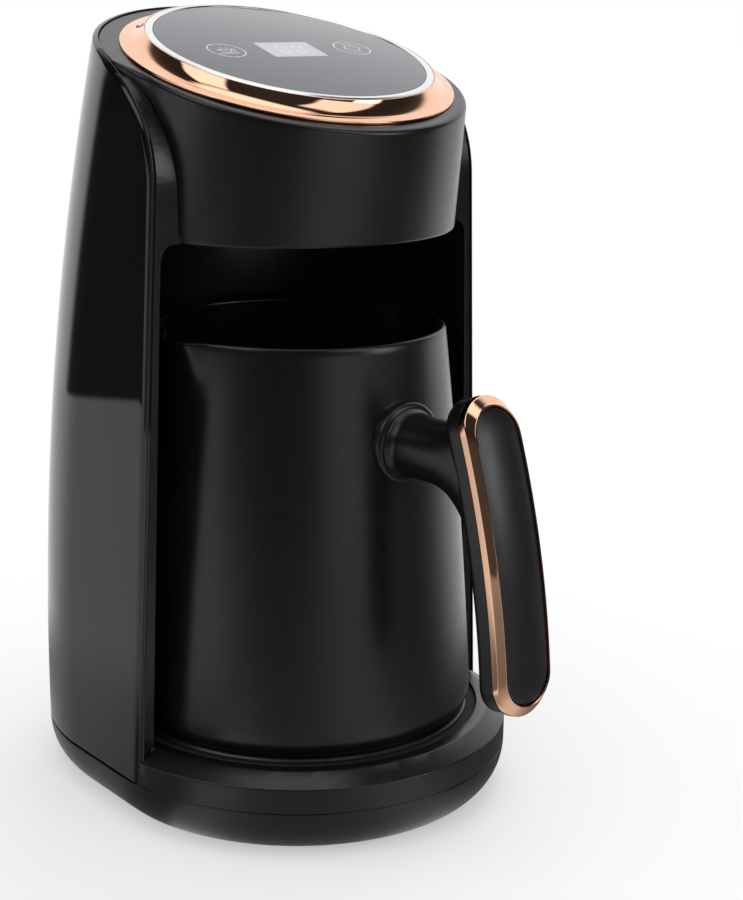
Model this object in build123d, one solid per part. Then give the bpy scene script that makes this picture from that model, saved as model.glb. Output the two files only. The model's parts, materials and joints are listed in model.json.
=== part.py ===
from build123d import *
import os
from math import cos, radians, sin

# Electric Turkish coffee maker with a lift-out jug.
# Millimetres. The origin is where the axis of the heating plate and of the jug meets the table
# top. +Z is up and the front, with the jug's handle, faces -Y.

# ---------------------------------------------------------------- driving dimensions
FIT = 0.2                      # gap between two rigid mouldings
WALL = 2.4                     # moulded walls and plates

# jug: its foot sets the width of all that stands around it
JUG_FOOT_R = 58.9
JUG_DRAFT = 11.1               # the rim is this much narrower than the foot
JUG_RIM_Z = 159.1
JUG_FOOT_ROUND = 5.0
JUG_LIFT = 0.5                 # moulded foot above the steel base's underside
JUG_BELLY = 0.85               # bulge of the side over a straight cone
JUG_T = 2.4
JUG_LEDGE_RISE = 7.5           # ledge for the steel base, over the moulded foot
JUG_LEDGE_T = 4.0
SPOUT_OUT = 6.4                # spout's tip beyond the rim
SPOUT_R = 8.5
SPOUT_DROP = 21.0
SPOUT_T = 1.8
COLLAR_WALL = 2.8              # jug's foot outside the clamping collar
COLLAR_LAND = 3.3              # collar outside the steel base's flange
JUG_FLANGE_W = 2.8
JUG_LEDGE_LAP = 1.5
JUG_BASE_T = 1.0
GASKET_T = 1.5
COLLAR_SCREW_COUNT = 4

# handle
JUG_TURN = 5.0                 # the jug stands turned by this angle, so the handle points slightly right
NECK_DROP = 31.4               # neck's axis under the rim
NECK_R = 10.1
JUG_BOSS_R = 8.6
JUG_BOSS_L = 9.7               # from the rim's radius outwards
FLARE_R = 13.2
FLARE_L = 5.7
FLARE_EDGE = 1.2
NUT_R = 3.0
NUT_L = 6.0
GRIP_REACH = 39.1              # upper end of the grip's face, from the rim's radius
GRIP_RISE = 21.7               # and above the neck's axis
GRIP_LEAN = 21.3               # lower end lies this much further out
GRIP_FALL = 96.4               # and this much lower
GRIP_BOW_R = 297.0
GRIP_W = 22.0
PAD_W = 19.0
PAD_END = 3.5                  # frame beyond the pad at both ends of the grip
PAD_PROUD = 0.3
PAD_T = 3.2
GRIP_SCREW_L = 6.5
GRIP_SCREW_ANGLES = [-7.4, 6.2]
HEAD_RELIEF = 0.02             # a bowed bed lies this far under a flat screw head's edge
FRAME_T = 5.4
GRIP_BACK_T = 6.8
GRIP_BACK_W = 20.4
# the neck's sections towards the grip: distance inside the grip's upper end, and how far the section
# then reaches above and below the neck's axis, beyond the neck's radius
NECK_SECTIONS = [
    (21.0, 0.0, 0.0),
    (15.5, 0.7, 0.8),
    (10.5, 3.0, 3.3),
    (6.5, 6.2, 7.4),
    (3.0, 8.4, 12.4),
    (-0.3, 9.4, 18.0),
    (-2.7, 9.6, 23.5),
    (-5.5, 9.6, 32.0),
]

# column: plan is a half circle at the back with straight sides running forward
JUG_ROOM = 6.1                 # jug's foot to the side of the bay
ARM_DEPTH = 6.5                # side of the bay to the column's outer surface
BODY_TAPER = 0.0407            # half width lost per millimetre of height
BAY_TAPER = 0.0296
REAR_ROOM = 30.8               # the back reaches this much further than the half width
REAR_REACH_Z = 62.0            # height of the back's furthest point
REAR_BOW_R = 564.0             # bow of the back in side view
SECTION_COUNT = 6
SIDE_EDGE_Y = -11.3            # front faces of the two arms
KNEE_RISE = 16.3               # the arms' front edge sweeps back from this far over the lip
KNEE_R = 37.0
KNEE_TURN = 52.0
SWEEP_R = 82.0
SWEEP_TURN = 13.0

# base
FOOT_H = 1.6                   # table to underside of the pan
FOOT_SINK = 1.2                # depth of the foot ring's groove in the pan
FOOT_INSET = 17.0              # foot ring's outer edge, inside the seam's outline
FOOT_W = 6.0
SEAM_Z = 15.5
PAN_TUCK = 6.6                 # how far the pan's wall draws in at the bottom
PAN_SHELF = 8.0                # inward shelf that carries the column
BOSS_DROP = 2.3                # pan's bosses end this far under the seam
RING_SIDE_H = 8.2              # upright side of the ring
RING_SLOPE_H = 3.9
RING_FLAT_W = 4.1
PLINTH_SIDE_GAP = 0.3

# heating plate
WELL_GAP = 2.6                 # dark gap around the jug's foot
WELL_DEPTH = 4.1
SEAL_W = 3.5                   # seal between plate and ring
SEAL_LAP = 3.0                 # seal under the plate's edge
SEAL_FLANGE = 1.5
SEAL_UPSTAND = 1.6
LIP_LAP = 1.0                  # ring's lip inside the seal
PLATE_T = 3.0
PLATE_PROUD = 0.4              # plate stands above the ring, so the jug slides off over it
ELEMENT_INSET = 20.0           # middle of the element's ring inside the plate's edge
ELEMENT_W = 10.0
ELEMENT_H = 5.5
ELEMENT_GAP = 12.0
TERMINAL_R = 1.6
TERMINAL_L = 7.0
CLAMP_T = 1.2
CLAMP_LAP = 2.5
CLAMP_STEP = 4.0
CLAMP_BOSS_PCR = 24.0
CLAMP_BOSS_R = 4.2
CLAMP_SCREW_COUNT = 3
SENSOR_R = 7.9
SENSOR_FIT = 0.08
SENSOR_FLANGE_R = 9.6
SENSOR_FLANGE_T = 2.5
GUIDE_BORE_R = 10.0
GUIDE_T = 1.5
GUIDE_DEPTH = 11.3
SPRING_R = 5.0
SPRING_WIRE_R = 0.5
SPRING_TURNS = 4
FUSE_R = 2.2
FUSE_L = 16.0
FUSE_X, FUSE_Y = -28.0, -8.0

# column shells
COVER_T = 1.8
COVER_SETBACK = 1.8            # glossy cover's front edge behind the arms' front faces
COVER_LIFT = 0.7               # shadow gap over the base pan
EDGE_INSET = 0.7               # matt arms lie this far inside the cover's surface
HOUSING_T = 2.2
ARM_T = 3.0                    # thickness of the arms' front wall
FLANGE_Y = 34.0                # side flanges of the housing end here
CEILING_RISE = 1.8             # ceiling of the bay above the head's lip
CEILING_REST_Y = 36.0
COLUMN_BOSS_R = 3.8
CABLE_HOLE_R = 7.0

# head: an oblique cone, cut by the sloping deck
BAY_HEADROOM = 30.6            # jug's rim to the head's lip
HEAD_STEP = 12.0               # lip's radius inside the column's half width
HEAD_LIP_Y = 15.1              # middle of the lip
HEAD_TAPER = 0.0585            # radius lost per millimetre of height
HEAD_LEAN = 0.145              # the front leans out this much per millimetre
HEAD_T = 2.2
HEAD_H = 51.8                  # lip to the middle of the deck's ring
HEAD_BOSS_R, HEAD_BOSS_H = 5.2, 12.0
DECK_TILT = 16.0
DECK_SHIFT = 7.0               # the ring's middle lies this far in front of the lip's
DECK_T = 2.4

# control panel, measured from the deck's plane
DECK_MARGIN = 4.9              # ring's edge inside the lip's radius
BEZEL_LAP = 5.2                # ring over the deck's hole
BEZEL_NECK_W = 3.2
BEZEL_NECK_DEPTH = 3.5
BEZEL_EDGE_H = 0.7
BEZEL_W = 10.1                 # ring's edge to the glass
LEDGE_W = 2.0
SILVER_W = 2.6
SILVER_TOP_H = 5.7
GLASS_T = 2.0
GLASS_TOP_H = 5.4
DISPLAY_W, DISPLAY_D = 20.6, 13.8
TRAY_WALL = 2.6
TRAY_DEPTH = 9.0
TRAY_LUG_OUT = 2.6             # lug screws outside the deck's hole
BOARD_T = 1.6
TOUCH_BOARD_TOP_H = -0.4
TOUCH_X = 24.0
TOUCH_PAD_R = 4.5
BUZZER_R = 6.0

# boil-over sensor in the ceiling
BOIL_R = 7.0
BOIL_H = 14.0
BOIL_Y = 4.0
LENS_R = 4.5
LENS_T = 1.5

# cord gland and column electronics
GLAND_RISE = 10.0              # gland above the column's floor
GLAND_R = 6.3
GLAND_FLANGE_R = 8.5
GLAND_FLANGE_T = 1.8
CORD_BORE_R = 3.6
GLAND_INNER_L = 8.0
BOARD_W, BOARD_H = 62.0, 92.0
BOARD_GAP = 7.6                # power board behind the bay's wall
BOARD_RAISE = 22.0             # its lower edge over the column's floor
BOARD_EDGE = 8.0               # fixing holes inside its upper and lower edges
BOARD_HOLE_X = 25.0
STANDOFF_R = 3.4
WIRE_R = 1.4
WIRE_BEND = 3.0

# screws: shank radius, head radius, head height
M3 = (1.5, 2.8, 2.0)
M25 = (1.25, 2.3, 1.6)
M2 = (1.0, 1.6, 1.2)
M4 = (2.0, 3.6, 2.6)
SCREW_SLACK = 0.2              # a clearance hole is this much over its shank

FAR = 200.0                    # reach of the blocks that only cut

# ---------------------------------------------------------------- sizes that follow
JUG_RIM_R = JUG_FOOT_R - JUG_DRAFT
BAY_HALF_WIDTH = JUG_FOOT_R + JUG_ROOM
BODY_HALF_WIDTH = BAY_HALF_WIDTH + ARM_DEPTH
REAR_REACH = BODY_HALF_WIDTH + REAR_ROOM
COLLAR_R = JUG_FOOT_R - COLLAR_WALL
JUG_BASE_FLANGE_R = COLLAR_R - COLLAR_LAND
JUG_BASE_R = JUG_BASE_FLANGE_R - JUG_FLANGE_W
JUG_LEDGE_R = JUG_BASE_R - JUG_LEDGE_LAP
WELL_R = JUG_FOOT_R + WELL_GAP
RING_FLAT_R = WELL_R + RING_FLAT_W
PLATE_R = WELL_R - SEAL_W
SEAL_INNER_R = PLATE_R - SEAL_LAP
LIP_R = SEAL_INNER_R - LIP_LAP
ELEMENT_R = PLATE_R - ELEMENT_INSET
CLAMP_R = LIP_R + CLAMP_LAP
CLAMP_STEP_R = LIP_R - CLAMP_STEP
FRONT_SCREW_PCR = LIP_R + COLUMN_BOSS_R + 0.7
HEAD_LIP_R = BODY_HALF_WIDTH - HEAD_STEP
BEZEL_R = HEAD_LIP_R - DECK_MARGIN
PANEL_HOLE_R = BEZEL_R - BEZEL_LAP
BEZEL_NECK_R = PANEL_HOLE_R - FIT - BEZEL_NECK_W
GLASS_R = BEZEL_R - BEZEL_W
SILVER_R = GLASS_R + SILVER_W
BEZEL_LEDGE_R = GLASS_R - LEDGE_W
TRAY_R = BEZEL_NECK_R - 2 * FIT
TOUCH_BOARD_R = TRAY_R - TRAY_WALL
TRAY_LUG_PCR = PANEL_HOLE_R + TRAY_LUG_OUT

RING_EDGE_Z = SEAM_Z + RING_SIDE_H
RING_TOP_Z = RING_EDGE_Z + RING_SLOPE_H
WELL_FLOOR_Z = RING_TOP_Z - WELL_DEPTH
LIP_UNDER_Z = WELL_FLOOR_Z - WALL
HOUSING_FLOOR_TOP_Z = RING_TOP_Z + WALL
PAN_FLOOR_Z = FOOT_H + WALL
PAN_BOSS_TOP_Z = SEAM_Z - BOSS_DROP
PLATE_TOP_Z = RING_TOP_Z + PLATE_PROUD
PLATE_UNDER_Z = PLATE_TOP_Z - PLATE_T
ELEMENT_UNDER_Z = PLATE_UNDER_Z - ELEMENT_H
CLAMP_UNDER_Z = ELEMENT_UNDER_Z - CLAMP_T
SENSOR_UNDER_Z = PLATE_UNDER_Z - SENSOR_FLANGE_T
GUIDE_FLOOR_Z = CLAMP_UNDER_Z - GUIDE_DEPTH + GUIDE_T
JUG_FOOT_Z = PLATE_TOP_Z + JUG_LIFT
JUG_LEDGE_Z = JUG_FOOT_Z + JUG_LEDGE_RISE
JUG_BASE_TOP_Z = JUG_LEDGE_Z - GASKET_T
LIP_Z = JUG_RIM_Z + BAY_HEADROOM
CEILING_Z = LIP_Z + CEILING_RISE
CEILING_TOP_Z = CEILING_Z + WALL
KNEE_Z = LIP_Z + KNEE_RISE
DECK_Y = HEAD_LIP_Y - DECK_SHIFT
DECK_Z = LIP_Z + HEAD_H
BODY_TOP_Z = DECK_Z + 0.5 * BODY_HALF_WIDTH
GLASS_UNDER_H = GLASS_TOP_H - GLASS_T
LEDGE_UNDER_H = GLASS_UNDER_H - LEDGE_W
TRAY_LUG_TOP = TRAY_DEPTH - 2.0
TRAY_ANGLES = [90.0, 210.0, 330.0]

NECK_Z = JUG_RIM_Z - NECK_DROP
JUG_BOSS_END_Y = -JUG_RIM_R - JUG_BOSS_L
FLARE_FACE_Y = -JUG_RIM_R - FLARE_L
GRIP_TOP_Y = -JUG_RIM_R - GRIP_REACH
GRIP_TOP_Z = NECK_Z + GRIP_RISE
HANDLE_SCREW_Y = GRIP_TOP_Y + 4.0

HOUSING_INSET = COVER_T + FIT
FLANGE_INSET = HOUSING_INSET + HOUSING_T
PLINTH_INSET = FLANGE_INSET + PLINTH_SIDE_GAP
BOARD_Y = BAY_HALF_WIDTH + WALL + BOARD_GAP
BOARD_REAR_Y = BOARD_Y + BOARD_T
BOARD_LOW_Z = HOUSING_FLOOR_TOP_Z + BOARD_RAISE
BOARD_Z = BOARD_LOW_Z + BOARD_H / 2
GLAND_Z = HOUSING_FLOOR_TOP_Z + GLAND_RISE


def half_width(z):
    return BODY_HALF_WIDTH - BODY_TAPER * (z - SEAM_Z)


def rear_reach(z):
    return REAR_REACH - (z - REAR_REACH_Z) ** 2 / (2 * REAR_BOW_R)


def bay_half_width(z):
    return BAY_HALF_WIDTH - BAY_TAPER * (z - RING_TOP_Z)


def head_radius(z):
    return HEAD_LIP_R - HEAD_TAPER * (z - LIP_Z)


def head_front(z):
    return HEAD_LIP_Y - HEAD_LIP_R - HEAD_LEAN * (z - LIP_Z)


def pair(radius, angle, centre_y=0.0):
    """Mirrored pair of points at an angle from straight back, round a point of the middle plane."""
    out, back = radius * sin(radians(angle)), radius * cos(radians(angle))
    return [(-out, centre_y + back), (out, centre_y + back)]


PAN_REAR_Y = rear_reach(SEAM_Z) - half_width(SEAM_Z)
DECK = Plane(origin=(0, DECK_Y, DECK_Z), x_dir=(1, 0, 0),
             z_dir=(0, -sin(radians(DECK_TILT)), cos(radians(DECK_TILT))))
GLAND_Y = rear_reach(GLAND_Z)
FRONT_SCREWS = pair(FRONT_SCREW_PCR, 135.0)
COLUMN_SCREWS = pair(BODY_HALF_WIDTH - PAN_SHELF - COLUMN_BOSS_R - 0.8, 27.3, PAN_REAR_Y)
HOUSING_SCREWS = pair(BAY_HALF_WIDTH + WALL + COLUMN_BOSS_R + 2.6, 40.6)
CEILING_SCREWS = pair(bay_half_width(CEILING_Z) + COLUMN_BOSS_R + 0.6, 40.0)
FRONT_HEAD_SCREWS = pair(HEAD_LIP_R - HEAD_T - COLUMN_BOSS_R - FIT, 134.4, HEAD_LIP_Y)
REAR_HEAD_SCREWS = pair(bay_half_width(CEILING_Z) - COLUMN_BOSS_R - FIT, 58.9)
HEAD_SCREWS = FRONT_HEAD_SCREWS + REAR_HEAD_SCREWS
BOARD_HOLES = [(x, BOARD_LOW_Z + z) for x in (-BOARD_HOLE_X, BOARD_HOLE_X)
               for z in (BOARD_EDGE, BOARD_H - BOARD_EDGE)]


# ---------------------------------------------------------------- plain shapes
def disc(radius, low, high, at=(0, 0)):
    """Upright cylinder between two heights."""
    return Pos(*at, low) * Cylinder(radius, high - low, align=(Align.CENTER, Align.CENTER, Align.MIN))


def annulus(outer, inner, low, high, at=(0, 0)):
    return disc(outer, low, high, at) - disc(inner, low, high, at)


def rod(radius, rear, front, x, z):
    """Cylinder along Y from rear to front, front being the smaller Y."""
    return Pos(x, rear, z) * Rot(90, 0, 0) * Cylinder(
        radius, rear - front, align=(Align.CENTER, Align.CENTER, Align.MIN))


def slab(low, high):
    """Everything between two heights."""
    return Pos(0, 0, low) * Box(2 * FAR, 2 * FAR, high - low, align=(Align.CENTER, Align.CENTER, Align.MIN))


def behind(y):
    return Pos(0, y, 0) * Box(2 * FAR, FAR, 4 * FAR, align=(Align.CENTER, Align.MIN, Align.CENTER))


def on_deck(shape):
    """Moves a shape from the deck's own frame, height 0 on its plane, to its place."""
    return DECK.location * shape


def turned(points):
    """Solid of revolution about Z from (radius, height) points."""
    return revolve(make_face(Plane.XZ * Polyline(*points, close=True)), Axis.Z)


def joined(shapes):
    """One compound of separate solids."""
    return Compound(children=list(shapes))


def screw(size, length, base=(0, 0, 0), turn=None):
    """Cross-head screw, its shank running up from the bearing face of its head."""
    shank_r, head_r, head_h = size
    head = fillet(disc(head_r, -head_h, 0).edges().group_by(Axis.Z)[0], head_h * 0.35)
    slot = Pos(0, 0, -head_h) * Box(head_r * 1.1, head_r * 0.28, head_h * 0.9)
    body = head + disc(shank_r, 0, length) - slot - Rot(0, 0, 90) * slot
    return Pos(*base) * (turn or Rot(0, 0, 0)) * body


def pilot(size):
    return size[0]


def slack(size):
    return size[0] + SCREW_SLACK


# ---------------------------------------------------------------- envelopes
def plan(radius, centre, z):
    """Half circle at the back, straight sides to the far front, at height z."""
    left, right = (-radius, centre), (radius, centre)
    outline = (ThreePointArc(left, (0, centre + radius), right) + Line(right, (radius, -FAR))
               + Line((radius, -FAR), (-radius, -FAR)) + Line((-radius, -FAR), left))
    return Plane.XY.offset(z) * make_face(outline)


def column(inset):
    """The column's envelope, `inset` inside its outer surface."""
    step = (BODY_TOP_Z - SEAM_Z) / (SECTION_COUNT - 1)
    levels = [SEAM_Z + step * i for i in range(SECTION_COUNT)]
    return loft([plan(half_width(z) - inset, rear_reach(z) - half_width(z), z) for z in levels])


def bay(grow, low=RING_TOP_Z, high=CEILING_Z):
    """The space that holds the jug, between the arms."""
    return loft([plan(bay_half_width(z) + grow, 0, z) for z in (low, high)], ruled=True)


def head(grow):
    """The head's leaning cone, from the lip up."""
    sections = []
    for z in (LIP_Z, BODY_TOP_Z):
        centre = head_front(z) + head_radius(z)
        sections.append(Plane.XY.offset(z) * Pos(0, centre) * Circle(head_radius(z) + grow))
    return loft(sections, ruled=True)


def ahead(back):
    """Everything in front of the arms' swept front edge, the edge moved `back` into the column."""
    foot = Vector(SIDE_EDGE_Y + back, 0)
    rise = Line(foot, (foot.X, KNEE_Z))
    knee = JernArc(rise @ 1, (0, 1), KNEE_R - back, -KNEE_TURN)
    sweep = JernArc(knee @ 1, knee % 1, SWEEP_R - back, -SWEEP_TURN)
    run = Line(sweep @ 1, (sweep @ 1) + (sweep % 1) * FAR)
    top = Line(run @ 1, (-FAR, (run @ 1).Y))
    front = Line(top @ 1, (-FAR, 0))
    outline = rise + knee + sweep + run + top + front + Line(front @ 1, foot)
    return extrude(Plane.YZ * make_face(outline), FAR, both=True)


def above_deck(drop):
    return on_deck(Pos(0, 0, -drop) * Box(2 * FAR, 2 * FAR, FAR, align=(Align.CENTER, Align.CENTER, Align.MIN)))


def footprint(inset, z):
    """The pan's plan: two half circles joined by straight sides."""
    radius = BODY_HALF_WIDTH - inset
    slot = Pos(0, PAN_REAR_Y / 2) * Rot(0, 0, 90) * SlotCenterToCenter(PAN_REAR_Y, 2 * radius)
    return Plane.XY.offset(z) * slot


# ---------------------------------------------------------------- base
def make_base_pan():
    mid_z = FOOT_H + 0.4 * (SEAM_Z - FOOT_H)
    shell = loft([footprint(PAN_TUCK, FOOT_H), footprint(0.3 * PAN_TUCK, mid_z), footprint(0, SEAM_Z)])
    room = loft([footprint(PAN_TUCK + WALL, PAN_FLOOR_Z), footprint(0.3 * PAN_TUCK + WALL, mid_z),
                 footprint(PAN_SHELF, SEAM_Z - WALL)])
    pan = shell - room - extrude(footprint(PAN_SHELF, SEAM_Z - WALL), WALL + 1)
    for spot in FRONT_SCREWS + COLUMN_SCREWS:
        pan += disc(COLUMN_BOSS_R, FOOT_H, PAN_BOSS_TOP_Z, spot)
        pan -= disc(slack(M3), FOOT_H, PAN_BOSS_TOP_Z, spot)
        pan -= disc(M3[1] + FIT, FOOT_H, PAN_FLOOR_Z + M3[2], spot)
    return pan - foot_band(0, FOOT_H, FOOT_H + FOOT_SINK)


def foot_band(play, low, high):
    """Closed band of the foot ring between two heights, `play` narrower on each side."""
    outer = extrude(footprint(FOOT_INSET + play, low), high - low)
    return outer - extrude(footprint(FOOT_INSET + FOOT_W - play, low), high - low)


def make_foot_ring():
    """One-piece anti-slip ring, pressed into a groove in the pan."""
    ring = foot_band(FIT / 2, 0, FOOT_H + FOOT_SINK)
    return chamfer(ring.edges().group_by(Axis.Z)[0], FOOT_H * 0.3)


def screws_up(size, spots, bearing_z, top_z):
    """Screws standing on their heads' bearing faces, tips up."""
    return joined(screw(size, top_z - bearing_z, (*spot, bearing_z)) for spot in spots)


def make_base_plinth():
    inner_edge_z = RING_EDGE_Z - WALL / 2
    ring = turned([(0, SEAM_Z), (BODY_HALF_WIDTH, SEAM_Z), (BODY_HALF_WIDTH, RING_EDGE_Z),
                   (RING_FLAT_R, RING_TOP_Z), (0, RING_TOP_Z)])
    ring_room = turned([(0, SEAM_Z), (BODY_HALF_WIDTH - WALL, SEAM_Z),
                        (BODY_HALF_WIDTH - WALL, inner_edge_z),
                        (RING_FLAT_R - WALL / 2, RING_TOP_Z - WALL), (0, RING_TOP_Z - WALL)])
    split = ahead(-FIT)
    rear = (column(PLINTH_INSET) & slab(SEAM_Z, RING_TOP_Z)) - split
    rear_room = (column(PLINTH_INSET + WALL) & slab(SEAM_Z, RING_TOP_Z - WALL)) - ahead(-FIT - 2 * WALL)
    plinth = (ring & split) + rear - (ring_room & ahead(-FIT - WALL)) - rear_room
    plinth += annulus(WELL_R + WALL, LIP_R, LIP_UNDER_Z, RING_TOP_Z)
    for spot in FRONT_SCREWS + COLUMN_SCREWS:
        plinth += disc(COLUMN_BOSS_R, PAN_BOSS_TOP_Z, RING_TOP_Z - WALL / 2, spot)
    plinth -= disc(WELL_R, WELL_FLOOR_Z, RING_TOP_Z) + disc(LIP_R, 0, RING_TOP_Z)
    for spot in FRONT_SCREWS:
        plinth -= disc(pilot(M3), PAN_BOSS_TOP_Z, LIP_UNDER_Z, spot)
    for spot in COLUMN_SCREWS + HOUSING_SCREWS:
        plinth -= disc(slack(M3), PAN_BOSS_TOP_Z, RING_TOP_Z, spot)
    return plinth - disc(CABLE_HOLE_R, 0, RING_TOP_Z, CABLE_HOLE)


# ---------------------------------------------------------------- heating plate
def around(radius, count, start=90.0):
    return [(radius * cos(radians(start + 360.0 * i / count)),
             radius * sin(radians(start + 360.0 * i / count))) for i in range(count)]


CABLE_HOLE = (0, (bay_half_width(RING_TOP_Z) + WALL + rear_reach(RING_TOP_Z) - HOUSING_INSET) / 2)
CLAMP_SCREWS = around(CLAMP_BOSS_PCR, CLAMP_SCREW_COUNT, -90.0)
TERMINALS = [(side * (ELEMENT_GAP / 2 + TERMINAL_R + 1.0), ELEMENT_R - 1.5) for side in (-1, 1)]


def make_heating_plate():
    plate = chamfer(disc(PLATE_R, PLATE_UNDER_Z, PLATE_TOP_Z).edges().group_by(Axis.Z)[-1], 0.5)
    for spot in CLAMP_SCREWS:
        plate += disc(CLAMP_BOSS_R, ELEMENT_UNDER_Z, PLATE_UNDER_Z, spot)
        plate -= disc(pilot(M25), ELEMENT_UNDER_Z, PLATE_UNDER_Z, spot)
    return plate - disc(SENSOR_R + SENSOR_FIT, PLATE_UNDER_Z, PLATE_TOP_Z)


def make_plate_seal():
    flange_top = WELL_FLOOR_Z + SEAL_FLANGE
    seal = annulus(WELL_R, SEAL_INNER_R, WELL_FLOOR_Z, flange_top)
    return seal + annulus(WELL_R, PLATE_R, WELL_FLOOR_Z, flange_top + SEAL_UPSTAND)


def make_heating_element():
    ring = annulus(ELEMENT_R + ELEMENT_W / 2, ELEMENT_R - ELEMENT_W / 2, ELEMENT_UNDER_Z, PLATE_UNDER_Z)
    ring = fillet(ring.edges().group_by(Axis.Z)[0], ELEMENT_W * 0.2)
    ring -= Pos(0, ELEMENT_R, 0) * Box(ELEMENT_GAP, 2 * ELEMENT_W, 2 * PLATE_TOP_Z)
    for spot in TERMINALS:
        ring += disc(TERMINAL_R, ELEMENT_UNDER_Z - TERMINAL_L, PLATE_UNDER_Z - ELEMENT_H / 2, spot)
    return ring


def make_element_clamp():
    clamp = annulus(CLAMP_STEP_R, GUIDE_BORE_R, CLAMP_UNDER_Z, ELEMENT_UNDER_Z)
    clamp += annulus(CLAMP_STEP_R, CLAMP_STEP_R - CLAMP_T, CLAMP_UNDER_Z, LIP_UNDER_Z)
    clamp += annulus(CLAMP_R, CLAMP_STEP_R - CLAMP_T, LIP_UNDER_Z - CLAMP_T, LIP_UNDER_Z)
    for spot in FRONT_SCREWS + COLUMN_SCREWS:
        clamp -= disc(COLUMN_BOSS_R + FIT, CLAMP_UNDER_Z, LIP_UNDER_Z, spot)
    for spot in CLAMP_SCREWS:
        clamp -= disc(slack(M25), CLAMP_UNDER_Z, ELEMENT_UNDER_Z, spot)
    for spot in TERMINALS:
        clamp -= disc(TERMINAL_R + 1.4, CLAMP_UNDER_Z, ELEMENT_UNDER_Z, spot)
    return clamp


def make_sensor_plunger():
    cap = disc(SENSOR_R, SENSOR_UNDER_Z, PLATE_TOP_Z)
    return cap + disc(SENSOR_FLANGE_R, SENSOR_UNDER_Z, SENSOR_UNDER_Z + SENSOR_FLANGE_T)


def make_sensor_guide():
    outer = GUIDE_BORE_R + GUIDE_T
    cup = disc(outer, CLAMP_UNDER_Z - GUIDE_DEPTH, CLAMP_UNDER_Z)
    return cup - disc(GUIDE_BORE_R, GUIDE_FLOOR_Z, CLAMP_UNDER_Z)


def make_sensor_spring():
    height = SENSOR_UNDER_Z - GUIDE_FLOOR_Z - 2 * SPRING_WIRE_R
    path = Helix(height / SPRING_TURNS, height, SPRING_R)
    section = Plane(origin=path @ 0, z_dir=path % 0) * Circle(SPRING_WIRE_R)
    return Pos(0, 0, GUIDE_FLOOR_Z + SPRING_WIRE_R) * sweep(section, path)


def make_thermal_fuse():
    return Pos(FUSE_X, FUSE_Y, CLAMP_UNDER_Z - FUSE_R) * Rot(0, 90, 0) * Cylinder(FUSE_R, FUSE_L)


# ---------------------------------------------------------------- column
def make_column_housing():
    open_front = ahead(0)
    under_deck = above_deck(DECK_T)
    shell = column(HOUSING_INSET)
    front_wall = (column(EDGE_INSET) & ahead(COVER_SETBACK - FIT)) + (shell & ahead(ARM_T))
    front_wall -= bay(0, RING_TOP_Z, LIP_Z) + (column(FLANGE_INSET) & slab(0, RING_TOP_Z))
    front_wall -= head(FIT)
    flanges = shell - column(FLANGE_INSET) - behind(FLANGE_Y)
    bay_wall = (bay(WALL) & shell) - bay(0)
    floor = (shell & slab(RING_TOP_Z, HOUSING_FLOOR_TOP_Z)) - bay(0)
    housing = front_wall + flanges + bay_wall + floor
    for spot in CEILING_SCREWS:
        housing += disc(COLUMN_BOSS_R, CEILING_Z - 14, CEILING_Z, spot)
    for spot in HOUSING_SCREWS:
        housing += disc(COLUMN_BOSS_R, RING_TOP_Z, HOUSING_FLOOR_TOP_Z + 9, spot)
    for x, z in BOARD_HOLES:
        housing += rod(STANDOFF_R, BOARD_Y, BOARD_Y - 20, x, z)
    housing -= open_front + under_deck + bay(0)
    for spot in CEILING_SCREWS:
        housing -= disc(pilot(M3), CEILING_Z - 10, CEILING_Z, spot)
    for spot in HOUSING_SCREWS:
        housing -= disc(pilot(M3), RING_TOP_Z, HOUSING_FLOOR_TOP_Z + 7, spot)
    for spot in COLUMN_SCREWS:
        housing -= disc(slack(M3), RING_TOP_Z, HOUSING_FLOOR_TOP_Z, spot)
    for x, z in BOARD_HOLES:
        housing -= rod(pilot(M25), BOARD_Y, BOARD_Y - 7, x, z)
    return housing - disc(CABLE_HOLE_R, RING_TOP_Z, HOUSING_FLOOR_TOP_Z, CABLE_HOLE)


def make_rear_cover():
    skin = column(0) - column(COVER_T)
    bosses = []
    for spot in COLUMN_SCREWS:
        rib = Pos(spot[0], spot[1], HOUSING_FLOOR_TOP_Z) * Box(
            2.4, 30, 12, align=(Align.CENTER, Align.MIN, Align.MIN))
        bosses.append((rib & column(COVER_T / 2)) + disc(
            COLUMN_BOSS_R, HOUSING_FLOOR_TOP_Z, HOUSING_FLOOR_TOP_Z + 12, spot))
    cover = skin + bosses[0] + bosses[1]
    for spot in COLUMN_SCREWS:
        cover -= disc(pilot(M3), HOUSING_FLOOR_TOP_Z, HOUSING_FLOOR_TOP_Z + 9, spot)
    cover -= ahead(COVER_SETBACK) + above_deck(0) + slab(0, SEAM_Z + COVER_LIFT)
    return cover - rod(GLAND_R, GLAND_Y + 5, GLAND_Y - 20, 0, GLAND_Z)


def make_cord_gland():
    """Two flanges grip the cover's wall; the lead would pass through the bore."""
    outer_y = GLAND_Y + GLAND_FLANGE_T
    inner_y = GLAND_Y - COVER_T - GLAND_FLANGE_T
    outer = fillet(rod(GLAND_FLANGE_R, outer_y, GLAND_Y - COVER_T, 0, GLAND_Z)
                   .edges().group_by(Axis.Y)[-1], GLAND_FLANGE_T * 0.4)
    inner = rod(GLAND_FLANGE_R, GLAND_Y, inner_y, 0, GLAND_Z)
    gland = (outer - column(-FIT / 2)) + (inner & column(COVER_T + FIT / 2))
    gland += rod(GLAND_R - FIT / 2, outer_y - 0.5, inner_y - GLAND_INNER_L, 0, GLAND_Z)
    return gland - rod(CORD_BORE_R, outer_y, inner_y - GLAND_INNER_L, 0, GLAND_Z)


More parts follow.
